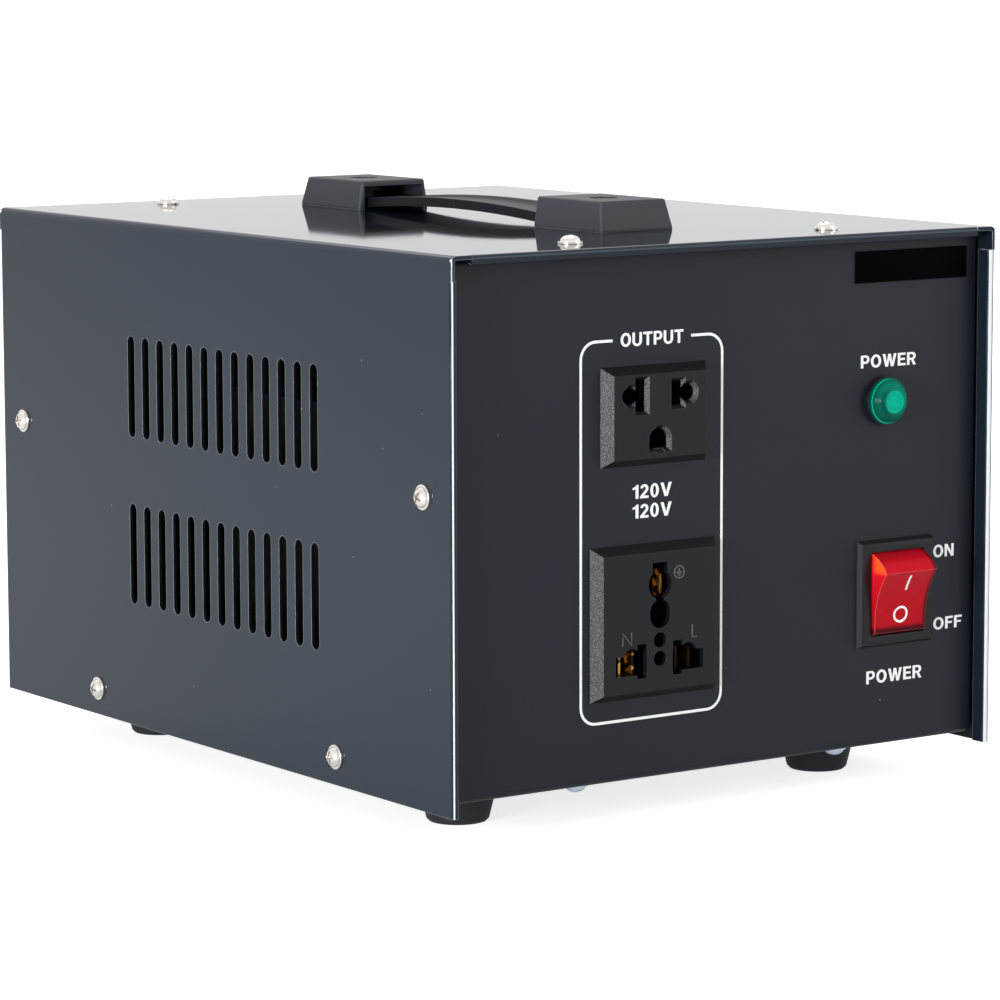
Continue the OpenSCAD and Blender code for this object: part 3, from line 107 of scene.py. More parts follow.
def length(name, description, millimetres):
    """A length that a user can change, given in millimetres."""
    return number(name, description, millimetres * MM, unit="LENGTH")


def angle(name, description, degrees):
    """An angle that a user can change, given in degrees."""
    return number(name, description, math.radians(degrees), subtype="ANGLE")


def colour(name, default):
    """A colour that a user can change."""
    return FloatVectorProperty(name=name, description=f"Colour of the {name.lower()}", subtype="COLOR",
                               size=3, min=0, max=1, default=default)


def patch(name, left, right, low, high):
    """A rectangle on the front panel: from its middle, and from the cover's bottom edge."""
    return FloatVectorProperty(name=name, description="Left, right, low and high edge on the front panel",
                               unit="LENGTH", size=4, default=[v * MM for v in (left, right, low, high)])


class StageSettings(bpy.types.PropertyGroup):
    """Camera, floor and light"""
    camera_place: FloatVectorProperty(name="Camera place", description="Where the camera stands",
                                      subtype="TRANSLATION", size=3, default=(-0.7413, -1.0717, 0.2534))
    heading: angle("Heading", "Turn of the view from +Y towards +X", 34.942)
    tilt: angle("Tilt", "How far the view looks down", 7.661)
    roll: angle("Roll", "Roll of the camera", -0.157)
    focal_length: number("Focal length", "Focal length on a 36 mm sensor, in millimetres", 152.8)
    floor: colour("Floor", (0.86, 0.86, 0.86))
    floor_glow: number("Floor glow", "White that the camera sees over the floor's own", 0.78)
    floor_mirrored: number("Mirrored floor", "Share of that white in reflections", 0.436)
    ambient: number("Ambient", "Strength of the even light from all round", 0.55)
    key_power: number("Key power", "Power of the lamp on the left", 20.0, subtype="POWER")
    fill_power: number("Fill power", "Power of the lamp on the right", 8.0, subtype="POWER")
    top_power: number("Top power", "Power of the lamp overhead", 9.0, subtype="POWER")


class CaseSettings(bpy.types.PropertyGroup):
    """Colours of the case"""
    paint: colour("Case paint", (0.0090, 0.0140, 0.0230))
    panel: colour("Panel paint", (0.0058, 0.0090, 0.0150))
    strap: colour("Strap", (0.006, 0.007, 0.009))
    rubber: colour("Foot rubber", display(25, 27, 33))
    plastic: colour("Handle plastic", display(45, 49, 56))
    badge: colour("Badge plate", display(3, 3, 4))
    peel_size: length("Peel size", "Width of the ripples in the gloss paint", 2.6)
    grain_size: length("Grain size", "Width of the grains in the moulded plastic", 0.35)


class PrintSettings(bpy.types.PropertyGroup):
    """White printing on the front panel"""
    ink: colour("Ink", (0.95, 0.96, 0.97))
    thickness: length("Ink thickness", "How far the ink stands out from the paint", 0.05)
    line_width: length("Line width", "Width of the line round the outlets", 0.8)
    corner_radius: length("Corner radius", "Radius of that line's corners", 5)
    word_gap: length("Word gap", "Gap between that line and the word in it", 2.8)
    outline: patch("Outline", -49.9, -0.1, 20.1, 128.3)
    output: patch("Output", -36.1, -14.0, 126.3, 130.3)
    upper_rating: patch("Upper rating", -31.8, -18.0, 83.0, 87.1)
    lower_rating: patch("Lower rating", -31.8, -18.0, 77.4, 81.5)
    lamp_word: patch("Lamp word", 51.2, 72.2, 114.9, 118.8)
    on_word: patch("On", 79.7, 87.7, 56.6, 60.5)
    off_word: patch("Off", 80.0, 91.2, 34.8, 38.6)
    switch_word: patch("Switch word", 54.3, 75.6, 21.0, 25.0)
    badge: patch("Badge", 48.8, 91.05, 139.95, 149.2)
    badge_thickness: length("Badge thickness", "Thickness of the bare plate", 0.6)


class ScrewSettings(bpy.types.PropertyGroup):
    """Case screws with a flange under a domed head"""
    flange_d: length("Flange diameter", "Diameter of the flange", 7.1)
    flange_h: length("Flange height", "Height of the flange", 0.6)
    dome_d: length("Dome diameter", "Diameter of the dome", 5.9)
    dome_h: length("Dome height", "Height of the dome over the flange", 1.9)
    shank_d: length("Shank diameter", "Diameter of the thread", 4)
    shank_l: length("Shank length", "Length of the thread", 5.6)
    recess_l: length("Recess length", "Length of the cross recess", 3.5)
    recess_w: length("Recess width", "Width of the cross recess", 0.8)
    recess_deep: length("Recess depth", "Depth of the cross recess", 1.5)
    seed: IntProperty(name="Seed", description="Seed for how far each screw is turned", default=4)


class SwitchSettings(bpy.types.PropertyGroup):
    """Rocker switch and pilot lamp"""
    rocker: colour("Rocker", (0.30, 0.004, 0.010))
    glow: colour("Neon glow", (1.0, 0.12, 0.010))
    lens: colour("Lens", (0.0, 0.22, 0.14))
    mark_width: length("Mark width", "Width of the strokes of the marks", 0.7)
    on_mark_l: length("On mark", "Length of the upper mark", 5.1)
    on_mark_up: length("On mark height", "Height of the upper mark over the rocker's middle", 5.6)
    on_mark_right: length("On mark place", "How far the upper mark is right of the middle", 0.4)
    off_mark_w: length("Off mark", "Width of the lower mark", 5.5)
    off_mark_h: length("Off mark height", "Height of the lower mark", 5)
    off_mark_down: length("Off mark place", "How far the lower mark is under the rocker's middle", 4.6)


class InsideSettings(bpy.types.PropertyGroup):
    """Colours of what is inside"""
    copper: colour("Copper wire", (0.60, 0.19, 0.07))
    tape: colour("Tape", (0.62, 0.43, 0.07))
    nylon: colour("Bobbin nylon", (0.62, 0.58, 0.47))
    red_lead: colour("Red lead", (0.42, 0.02, 0.015))
    black_lead: colour("Black lead", (0.015, 0.015, 0.017))
    wire_pitch: length("Wire pitch", "Pitch of the turns of wire", 0.9)
    lamination: length("Lamination", "Thickness of one lamination", 0.5)


SETTINGS = {
    "transformer_stage": StageSettings,
    "transformer_case": CaseSettings,
    "transformer_print": PrintSettings,
    "transformer_screw": ScrewSettings,
    "transformer_switch": SwitchSettings,
    "transformer_inside": InsideSettings,
}


def settings(name):
    """The group of settings called transformer_name."""
    return getattr(bpy.context.scene, "transformer_" + name)


class Wire:
    """A socket that can be written in sums: each operator adds the Math node for it."""

    def __init__(self, graph, socket):
        self.graph = graph
        self.socket = socket

    def other(self, name):
        """Another output of the same node."""
        return Wire(self.graph, self.socket.node.outputs[name])

    def maths(self, operation, *others):
        values = dict(enumerate((self, *others)))
        return self.graph.node("ShaderNodeMath", {"operation": operation}, values)

    def __rsub__(self, first):
        return self.graph.node("ShaderNodeMath", {"operation": "SUBTRACT"}, {0: first, 1: self})

    __add__ = __radd__ = partialmethod(maths, "ADD")
    __sub__ = partialmethod(maths, "SUBTRACT")
    __mul__ = __rmul__ = partialmethod(maths, "MULTIPLY")
    __truediv__ = partialmethod(maths, "DIVIDE")
    above = partialmethod(maths, "GREATER_THAN")
    below = partialmethod(maths, "LESS_THAN")
    highest = partialmethod(maths, "MAXIMUM")
    wave = partialmethod(maths, "SINE")
    size = partialmethod(maths, "ABSOLUTE")

    def within(self, low, high):
        return self.above(low) * self.below(high)

    def ramp(self, low, high):
        """0 below low, 1 above high, and smooth between them."""
        return self.graph.node("ShaderNodeMapRange", {"interpolation_type": "SMOOTHSTEP"},
                               {"Value": self, "From Min": low, "From Max": high})


class Graph:
    """A node tree that grows by one method."""

    def __init__(self, tree):
        self.tree = tree

    def node(self, kind, options=None, inputs=None, output=0):
        """Adds a node, sets its options and then its sockets, and gives one of its outputs."""
        made = self.tree.nodes.new(kind)
        for name, value in (options or {}).items():
            setattr(made, name, value)
        for key, value in (inputs or {}).items():
            for item in value if isinstance(value, list) else [value]:
                if isinstance(item, Wire):
                    self.tree.links.new(item.socket, made.inputs[key])
                else:
                    made.inputs[key].default_value = item
        return Wire(self, made.outputs[output])

    def named(self, kind, **inputs):
        """Adds a node whose sockets are given by name, with _ for a space."""
        return self.node(kind, inputs={name.replace("_", " "): value for name, value in inputs.items()})

    def finish(self, kind, socket, wire):
        """Ends the tree in its output node."""
        self.tree.links.new(wire.socket, self.tree.nodes.new(kind).inputs[socket])


class Look(Graph):
    """The shader of one material, with its lengths in millimetres."""

    def __init__(self):
        self.material = bpy.data.materials.new("look")
        self.material.use_nodes = True
        self.material.node_tree.nodes.clear()
        super().__init__(self.material.node_tree)
        self.place = self.node("ShaderNodeTexCoord", output="Object")

    def axes(self, vector):
        """The three numbers of a vector."""
        split = self.node("ShaderNodeSeparateXYZ", inputs={0: vector})
        return [split.other(axis) for axis in "XYZ"]

    def noise(self, size, detail=2.0):
        """Noise from 0 to 1 whose blotches are as wide as size."""
        return self.node("ShaderNodeTexNoise", inputs={
            "Vector": self.place, "Scale": 1 / (size * MM), "Detail": detail})

    def specks(self, size, reach):
        """1 in small round specks, one in each cell as wide as size, none of them wider than reach."""
        cells = self.node("ShaderNodeTexVoronoi", inputs={"Vector": self.place, "Scale": 1 / (size * MM)})
        chance = self.node("ShaderNodeTexWhiteNoise", inputs={"Vector": cells.other("Position")})
        return cells.below(chance * (reach / size))

    def mix(self, factor, first, second):
        """Colour between two colours."""
        first, second = [c if isinstance(c, Wire) else (*c[:3], 1) for c in (first, second)]
        return self.node("ShaderNodeMix", {"data_type": "RGBA"}, {0: factor, 6: first, 7: second}, output=2)

    def between(self, factor, first, second):
        """Number between two numbers."""
        return self.node("ShaderNodeMix", {"data_type": "FLOAT"}, {0: factor, 2: first, 3: second})

    def shade(self, tint, factor, spread):
        """A colour that varies to both sides of tint by spread."""
        darker = [c * (1 - spread) for c in tint]
        lighter = [min(1, c * (1 + spread)) for c in tint]
        return self.mix(factor, darker, lighter)

    def eased(self, radius):
        """Normals that round each edge by a radius."""
        return self.node("ShaderNodeBevel", {"samples": 6}, {"Radius": radius * MM})

    def rubbed_and_lit_edges(self, eased):
        """1 along the sharp edges that eased normals round off, 0 elsewhere."""
        flat = self.node("ShaderNodeNewGeometry", output="Normal")
        along = self.node("ShaderNodeVectorMath", {"operation": "DOT_PRODUCT"}, {0: eased, 1: flat},
                          output=1)
        return (1 - along).ramp(0.04, 0.14)

    def bump(self, height, depth, normal=None):
        inputs = {"Height": height, "Distance": depth * MM, "Strength": 1.0}
        if normal:
            inputs["Normal"] = normal
        return self.node("ShaderNodeBump", inputs=inputs)

    def principled(self, base, **inputs):
        return self.named("ShaderNodeBsdfPrincipled", Base_Color=base, **inputs)

    def surface(self, base, **inputs):
        """Ends the tree in one Principled shader and gives the material."""
        return self.close(self.principled(base, **inputs))

    def close(self, shader):
        self.finish("ShaderNodeOutputMaterial", "Surface", shader)
        return self.material


def case_paint():
    """Dark blue-grey gloss paint with a fine orange peel, a little dust, edges lightened partly by rubbing
    and partly as a painted highlight, a painted highlight along the hems, and painted shade in the slots.
    """
    case = settings("case")
    look = Look()
    across, along, up = look.axes(look.place)
    # Millimetres inwards from the cover's side, front or rear, and top
    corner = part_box("cover")[1]
    inwards, behind, under = [(edge - at) / MM for edge, at in
                              zip(corner, (across.size(), along.size(), up))]
    peel = look.noise(case.peel_size / MM, 1.0)
    cloud = look.noise(40 * case.peel_size / MM)
    dust = look.specks(9, 0.35)
    eased = look.eased(0.3)
    # Painted highlight in a pale steel colour along the hems, wider on the right, and above them along the
    # sheet's cut edge
    hem_end, rim = 7, 0.75
    right = across.above(0)
    line_at, line_half = right * 1.0 + 0.53, right * 0.38 + 0.18
    hem_highlight_line = (line_at - inwards).size().below(line_half)
    bare = behind.below(rim) * look.between(under.below(hem_end), hem_highlight_line, inwards.within(0.05, 0.4))
    # Painted shade, nearly black, over the slots' sides and the sheet's inner face, and the satin face of
    # the lip
    slot_shade = inwards.within(0.1, 1.3) * behind.above(6) * under.above(5)
    lip = behind.below(0.3) * under.within(1.3, 4) * inwards.above(3)
    paint = look.mix(dust, look.shade(case.paint, cloud, 0.12), display(96, 102, 110))
    paint = look.mix(slot_shade, paint, (0.0008, 0.0009, 0.0012))
    # Edges lightened partly by rubbing and partly as a painted highlight, except in the slots and on the lip
    paint = look.mix(look.rubbed_and_lit_edges(eased) * (1 - slot_shade) * (1 - lip) * 0.8, paint, RUBBED_AND_LIT_PAINT)
    # Painted highlight along the hems, in pale steel
    paint = look.mix(bare, paint, HEM_HIGHLIGHT_STEEL)
    relief = look.bump(peel, 0.006, eased)
    polish = cloud * 0.03 + 0.035 + dust * 0.2 + slot_shade * 0.5
    gloss = look.principled(paint, IOR=1.41, Specular_Tint=(0.70, 0.86, 0.99, 1), Roughness=polish,
                            Normal=relief)
    satin = look.principled(paint, Roughness=cloud * 0.05 + 0.4, Specular_IOR_Level=0.2, Normal=relief)
    return look.close(look.node("ShaderNodeMixShader", inputs={0: lip, 1: gloss, 2: satin}))


def panel_paint():
    """Nearly black satin paint with a fine even grain and stray specks."""
    look = Look()
    grain = look.noise(0.5, 1.0)
    cloud = look.noise(60)
    dust = look.specks(12, 0.3)
    paint = look.mix(dust, look.shade(settings("case").panel, cloud, 0.15), display(120, 124, 130))
    return look.surface(paint, Roughness=grain * 0.12 + 0.42, Specular_IOR_Level=0.24,
                        Normal=look.bump(grain, 0.012, look.eased(0.25)))


def moulded(tint, roughness, slope_grain, edge=0.3, gloss=0.4, wear_and_highlight=0.05, slope_highlight=0.0, recess_shade_r=None):
    """Moulded plastic: a fine spark-eroded grain, coarser on slopes, edges lightened partly by rubbing and
    partly as a painted highlight, painted highlight specks on side slopes, and painted shade in the handle
    screws' recesses.
    """
    look = Look()
    grain = look.noise(settings("case").grain_size / MM)
    cloud = look.noise(30)
    normal = look.node("ShaderNodeNewGeometry", output="True Normal")
    side, front, up = [way.size() for way in look.axes(normal)]
    sloping = front.below(FLAT) * (side.above(SLOPES) + up.above(SLOPES)).above(0.5)
    height = grain * (sloping * slope_grain + 1)
    scuff = look.specks(5, 0.22)
    eased = look.eased(edge)
    base = look.mix(scuff, look.shade(tint, cloud, 0.10), [min(1, 4 * c) for c in tint])
    # Edges lightened partly by rubbing and partly as a painted highlight
    base = look.mix(look.rubbed_and_lit_edges(eased) * cloud.ramp(0.3, 0.6) * wear_and_highlight, base, RUBBED_AND_LIT_PLASTIC)
    if slope_highlight:
        # Painted highlight: pale specks on the slopes that face sideways
        highlight_specks = look.noise(0.32, 1.0).ramp(0.45, 0.62) * 0.75 + 0.25
        lit = highlight_specks * front.within(SLOPES, FLAT) * side.above(SLOPES)
        base = look.mix(lit * slope_highlight, base, RUBBED_AND_LIT_PLASTIC)
    if recess_shade_r:
        # Painted shade: a dark well round each of the handle's two screws
        across, along, _ = look.axes(look.place)
        low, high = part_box("handle_screws")
        off = along.size() - (high.y - low.y) / 2 + high.x
        base = look.mix((across * across + off * off).below((recess_shade_r * MM) ** 2), base, (0.001, 0.001, 0.001))
    return look.surface(base, Roughness=grain * 0.14 + roughness, Specular_IOR_Level=gloss,
                        Normal=look.bump(height, 0.016, eased))


def plated(tint, roughness):
    """Plated metal with faint drawing marks and a clouded polish."""
    look = Look()
    cloud = look.noise(3)
    marks = look.noise(0.18, 3.0)
    return look.surface(look.shade(tint, cloud, 0.08), Metallic=1.0,
                        Roughness=marks * 0.10 + cloud * 0.06 + roughness,
                        Normal=look.bump(marks, 0.004, look.eased(0.22)))


def contact_brass():
    """Brass dark all over as painted shade, with painted glints in noise blotches, none of them in the
    right-hand aperture.
    """
    look = Look()
    across, _, _ = look.axes(look.place)
    low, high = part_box("outlet_universal_contacts")
    right = (low.x + high.x) / 2 + 4 * MM
    # Painted glints: bright brass in noise blotches on dark brass, none right of the line in the right-hand
    # aperture
    painted_glint = look.noise(2.2, 1.0).ramp(0.46, 0.58) * (1 - across.ramp(right, right + 2 * MM))
    return look.surface(look.mix(painted_glint, (0.016, 0.009, 0.004), (0.45, 0.24, 0.06)), Metallic=1.0,
                        Roughness=painted_glint * -0.15 + 0.4, Normal=look.eased(0.2))


def core_steel():
    """Stamped laminations: a fine line for each sheet along the stack, and a blued skin."""
    look = Look()
    along = look.axes(look.place)[1]
    line = (along * (2 * math.pi / settings("inside").lamination)).wave()
    cloud = look.noise(14, 3.0)
    base = look.mix(cloud.ramp(0.35, 0.7), display(24, 26, 29), display(40, 40, 42))
    return look.surface(look.mix(line.above(0.9), base, display(20, 20, 22)), Metallic=0.8,
                        Roughness=cloud * 0.2 + 0.32, Normal=look.bump(line, 0.05))


def wound(tint, pitch, depth, roughness, metallic):
    """Turns of wire or tape that lie one over the other up the coil, with painted shade in the grooves
    between them.
    """
    look = Look()
    sway = look.noise(12)
    up = look.axes(look.place)[2] + sway * (0.4 * pitch)
    turn = (up * (math.pi / pitch)).wave().size()
    # Painted shade: darker in the grooves between turns
    return look.surface(look.mix(turn.ramp(0.0, 0.5), [0.35 * c for c in tint], tint),
                        Metallic=metallic, Roughness=sway * 0.1 + roughness, Normal=look.bump(turn, depth))


def clouded(tint, size, spread, roughness, varying, depth=0, edge=0, **inputs):
    """One colour and polish with a soft clouding, and a slight waviness where a depth is given."""
    look = Look()
    cloud = look.noise(size)
    if depth:
        inputs["Normal"] = look.bump(cloud, depth, look.eased(edge) if edge else None)
    return look.surface(look.shade(tint, cloud, spread), Roughness=cloud * varying + roughness, **inputs)


def rocker_red():
    """Clear red plastic whose light is painted in as a glow: bright on top, orange under its left ridge,
    dark at its foot.
    """
    switch = settings("switch")
    look = Look()
    low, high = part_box("switch_rocker")
    tall = (high.z - low.z) / MM
    # Millimetres from the side of the rocker's box, from its front and from its foot
    across, along, up = look.axes(look.place)
    aside, deep, over = (high.x - across) / MM, (along - low.y) / MM, (up - low.z) / MM
    sideways, _, above = look.axes(look.node("ShaderNodeNewGeometry", output="True Normal"))
    cloud = look.noise(5)
    # Painted light: a glow bright on the top face near its front, dim on the hollow face, and orange on the
    # left wall below the ridge
    top_glow = look.mix(deep.ramp(1, 6), (0.31, 0.0, 0.006), (0.10, 0.0, 0.002))
    face_glow = look.mix(above.ramp(0.05, 0.45), (0.17, 0.001, 0.004), top_glow)
    wall_glow = look.mix(over.ramp(2, tall - 4), (0.05, 0.0, 0.0), (0.42, 0.006, 0.012))
    lit = over.ramp(tall - 7, tall - 5) * (1 - deep.ramp(4, 7))
    wall_glow = look.mix(lit, wall_glow, switch.glow)
    # The pivots stand out sideways, so that the face ends before its box does
    pivot_l, rim_w = 1.5, 2.0
    rim = (1 - aside.ramp(pivot_l, pivot_l + rim_w)).highest(1 - over.ramp(2, 3.6))
    # Painted shade: dark red in colour and glow along the rim at the sides and the foot
    rim_shade_red = (0.02, 0.0, 0.001)
    face_glow = look.mix(rim, face_glow, rim_shade_red)
    eased = look.eased(0.4)
    base = look.mix(rim * 0.9, look.shade(switch.rocker, cloud, 0.12), rim_shade_red)
    # Painted highlight along the rocker's edges
    base = look.mix(look.rubbed_and_lit_edges(eased) * 0.4, base, (0.85, 0.35, 0.33))
    # The left-facing wall takes the orange painted light
    glow = look.mix(sideways.below(-0.7), face_glow, wall_glow)
    return look.surface(base, Roughness=cloud * 0.08 + 0.22, Specular_IOR_Level=0.07,
                        Emission_Color=glow, Emission_Strength=1.0,
                        Normal=look.bump(cloud, 0.02, eased))


def lens_green():
    """Clear green lens whose light is painted in as a glow: bright in its middle and on its left rim, dark
    between them.
    """
    look = Look()
    low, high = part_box("lamp_lens")
    middle = (low + high) / 2
    radius = (high.x - low.x) / 2
    rim_deep = 2.7 * MM
    across, deep, up = look.axes(look.place)
    right, rise = (across - middle.x) / radius, (up - middle.z) / radius
    from_middle = (right * right + rise * rise).maths("SQRT")
    haze = look.noise(0.8)
    # Painted light: a bright middle, painted shade in a dark ring round it, a wall lighter towards the upper
    # right, and a painted highlight on the left rim
    core = (1 - from_middle.ramp(0.46, 0.56)) * (haze.ramp(0.3, 0.7) * 0.3 + 0.74)
    groove_shade = 1 - from_middle.ramp(0.82, 0.88) * 0.55
    wall = ((right + rise).ramp(-1.0, 1.4) * 0.36 + 0.07 + (from_middle * 60).wave() * 0.05) * groove_shade
    rim = from_middle.ramp(0.92, 0.95) * (1 - right.ramp(-0.9, 0.6)) * deep.below(low.y + rim_deep)
    lit = core.highest(wall).highest(rim)
    tint = settings("switch").lens
    base = look.mix(lit, [0.3 * c for c in tint], [0.8 * c for c in tint])
    glow = look.mix(lit, (0.0, 0.008, 0.006), (0.0, 0.29, 0.19))
    return look.surface(base, Roughness=haze * 0.08 + 0.14, Specular_IOR_Level=0.06,
                        Emission_Color=glow, Emission_Strength=1.0,
                        Normal=look.bump(haze, 0.02, look.eased(0.2)))


def floor_white():
    """Pale floor that keeps shadows, white where the camera sees it and a little less so in a gloss."""
    stage = settings("stage")
    look = Look()
    rays = look.node("ShaderNodeLightPath")
    mirrored = (rays.other("Is Glossy Ray") + rays.other("Is Transmission Ray")) * stage.floor_mirrored
    glow = look.mix(rays.other("Is Camera Ray").highest(mirrored), (0, 0, 0), (1, 1, 1))
    tint = look.shade(stage.floor, look.noise(400), 0.01)
    return look.surface(tint, Roughness=0.8, Specular_IOR_Level=0.2, Emission_Color=glow,
                        Emission_Strength=stage.floor_glow)


# What each finish is called and how it is made
FINISHES = {
    **{make.__name__: make for make in (
        case_paint, panel_paint, contact_brass, core_steel, rocker_red, lens_green, floor_white)},
    # Outlet plastic with painted highlight specks on its side slopes
    "outlet_plastic": lambda: moulded((0.0032, 0.0042, 0.0066), 0.36, 5.0, gloss=0.22, slope_highlight=0.21),
    # Marks in a lighter grey than the outlet plastic: a painted highlight on the raised strokes
    "mark_plastic": lambda: moulded(display(92, 95, 102), 0.36, 1.0),
    "switch_black": lambda: moulded((0.0050, 0.0055, 0.0065), 0.38, 1.0, gloss=0.24),
    # Handle plastic with edges lightened by rubbing and a painted highlight, painted highlight specks on its
    # slopes, and painted shade in its screw recesses
    "handle_plastic": lambda: moulded(
        settings("case").plastic, 0.46, 2.5, 0.35, wear_and_highlight=0.6, slope_highlight=0.04, recess_shade_r=4.1),
    "strap_vinyl": lambda: moulded(settings("case").strap, 0.36, 1.0, 0.4, 0.12),
    "foot_rubber": lambda: moulded(settings("case").rubber, 0.55, 2.0, 0.5),
    "bobbin_nylon": lambda: moulded(settings("inside").nylon, 0.42, 1.0),
    "nickel": lambda: plated((0.78, 0.75, 0.70), 0.12),
    "zinc": lambda: plated((0.52, 0.62, 0.72), 0.20),
    "brass": lambda: plated((0.88, 0.52, 0.14), 0.16),
    # Brass darkened nearly to black: painted shade on the duplex contacts deep in their slots
    "tarnished_brass": lambda: plated((0.035, 0.025, 0.012), 0.42),
    "copper_wire": lambda: wound(
        settings("inside").copper, settings("inside").wire_pitch, 0.3, 0.28, 0.85),
    "tape_yellow": lambda: wound(settings("inside").tape, 12 * MM, 0.05, 0.30, 0.0),
    "lead_black": lambda: clouded(settings("inside").black_lead, 4, 0.12, 0.33, 0.1, 0.06),
    "lead_red": lambda: clouded(settings("inside").red_lead, 4, 0.12, 0.33, 0.1, 0.06),
    "neon_glass": lambda: clouded((0.9, 0.3, 0.1), 1.5, 0.2, 0.08, 0.05, Emission_Strength=1.2,
                                  Emission_Color=(*settings("switch").glow, 1)),
    "fuse_glass": lambda: clouded((0.80, 0.86, 0.84), 2, 0.05, 0.05, 0.04, Transmission_Weight=0.8),
    "print_white": lambda: clouded(settings("print").ink, 1.2, 0.05, 0.45, 0.15, 0.01),
    "badge_black": lambda: clouded(settings("case").badge, 3, 0.1, 0.4, 0.1, 0.01, 0.15,
                                   Specular_IOR_Level=0.01),
}


def finish(name):
    """The finish of that name, made when it is first asked for."""
    material = bpy.data.materials.get(name + "_finish")
    if not material:
        material = FINISHES[name]()
        material.name = name + "_finish"
    return material


def dress(**finishes):
    """Gives CAD nodes their finishes, each of which comes with a line of the nodes' names."""
    for slot, nodes in finishes.items():
        for name in nodes.split():
            for holder in NODES[name].material_slots:
                holder.material = finish(slot)


def linked(name, data):
    """A new object in the scene."""
    made = bpy.data.objects.new(name, data)
    bpy.context.scene.collection.objects.link(made)
    return made


def covered(name, mesh, finish_name):
    """A mesh with one finish as a new object."""
    mesh.materials.clear()
    mesh.materials.append(finish(finish_name))
    return linked(name, mesh)


def add_piece(name, mesh, slot, body=CASE_BODY, replaced=(), finish_name=None):
    """Links a finished mesh as a piece that rides on a body and stands for the replaced nodes."""
    mesh.name = name
    piece = covered(name, mesh, finish_name or slot)
    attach(piece, body)
    if replaced:
        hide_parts(*replaced)


def closed_mesh(shape):
    """Turns a bmesh into a mesh with smooth faces and sharp creases."""
    bmesh.ops.recalc_face_normals(shape, faces=shape.faces)
    mesh = bpy.data.meshes.new("shape")
    shape.to_mesh(mesh)
    shape.free()
    return creased(mesh)


def creased(mesh):
    """Smooth faces and sharp creases for a mesh."""
    mesh.shade_smooth()
    mesh.set_sharp_from_angle(angle=CREASE)
    return mesh


def welded(node):
    """Copy of a CAD node's mesh with its vertices merged."""
    shape = bmesh.new()
    shape.from_mesh(NODES[node].data)
    bmesh.ops.remove_doubles(shape, verts=shape.verts, dist=MERGE)
    return shape


def copied(node):
    """Copy of a CAD node's mesh with its vertices merged and its flat faces whole."""
    shape = welded(node)
    bmesh.ops.dissolve_limit(shape, angle_limit=math.radians(0.5), verts=shape.verts, edges=shape.edges)
    return shape


def extent(vertices):
    """Lowest and highest corner of some vertices."""
    return [Vector([pick(v.co[i] for v in vertices) for i in range(3)]) for pick in (min, max)]


def solids(node):
    """Lowest and highest corner of each separate solid in a CAD node."""
    shape = welded(node)
    left, found = set(shape.verts), []
    while left:
        reached, edge = set(), [left.pop()]
        while edge:
            vertex = edge.pop()
            reached.add(vertex)
            near = {e.other_vert(vertex) for e in vertex.link_edges} - reached
            edge.extend(near & left)
            left -= near
        found.append(extent(reached))
    shape.free()
    return sorted(found, key=lambda pair: tuple(round(c, 5) for c in pair[0]))


def on_panel(across, up, out):
    """Point in front of the front panel, from its middle and the cover's bottom edge."""
    return Vector((across, PANEL_Y - out, CASE_FLOOR + up))


def on_patch(box, across, up, out):
    """Point in front of a rectangle on the panel, from shares of its width and height."""
    left, right, low, high = box
    return on_panel(left + across * (right - left), low + up * (high - low), out)


def bow(centre, across, up, start, end, steps=8):
    """Points of an arc with these half widths, its angles in degrees."""
    angles = [math.radians(start + (end - start) * i / steps) for i in range(steps + 1)]
    return [(centre[0] + across * math.cos(a), centre[1] + up * math.sin(a)) for a in angles]


def oval(centre, across, up):
    """Closed ring of points."""
    return bow(centre, across, up, 0, 360, 28)[:-1]


def stroke(points, width, thickness, place, loop=False):
    """A line of even width along points as a thin solid, whose flat points place puts in space."""
    shape = bmesh.new()
    count = len(points)
    rings = []
    for i, point in enumerate(points):
        before = points[(i - 1) % count] if loop or i > 0 else point
        after = points[(i + 1) % count] if loop or i < count - 1 else point
        along = (Vector(after) - Vector(before)).normalized()
        aside = Vector((-along.y, along.x)) * width / 2
        ring = [place(*(Vector(point) + side * aside), out) for side, out in
                ((1, 0), (-1, 0), (-1, thickness), (1, thickness))]
        rings.append([shape.verts.new(p) for p in ring])
    for i in range(count if loop else count - 1):
        first, second = rings[i], rings[(i + 1) % count]
        for k in range(4):
            shape.faces.new((first[k], first[(k + 1) % 4], second[(k + 1) % 4], second[k]))
    if not loop:
        shape.faces.new(rings[0])
        shape.faces.new(rings[-1])
    return closed_mesh(shape)


def joined(meshes):
    """One mesh out of several."""
    shape = bmesh.new()
    for mesh in meshes:
        shape.from_mesh(mesh)
    return closed_mesh(shape)


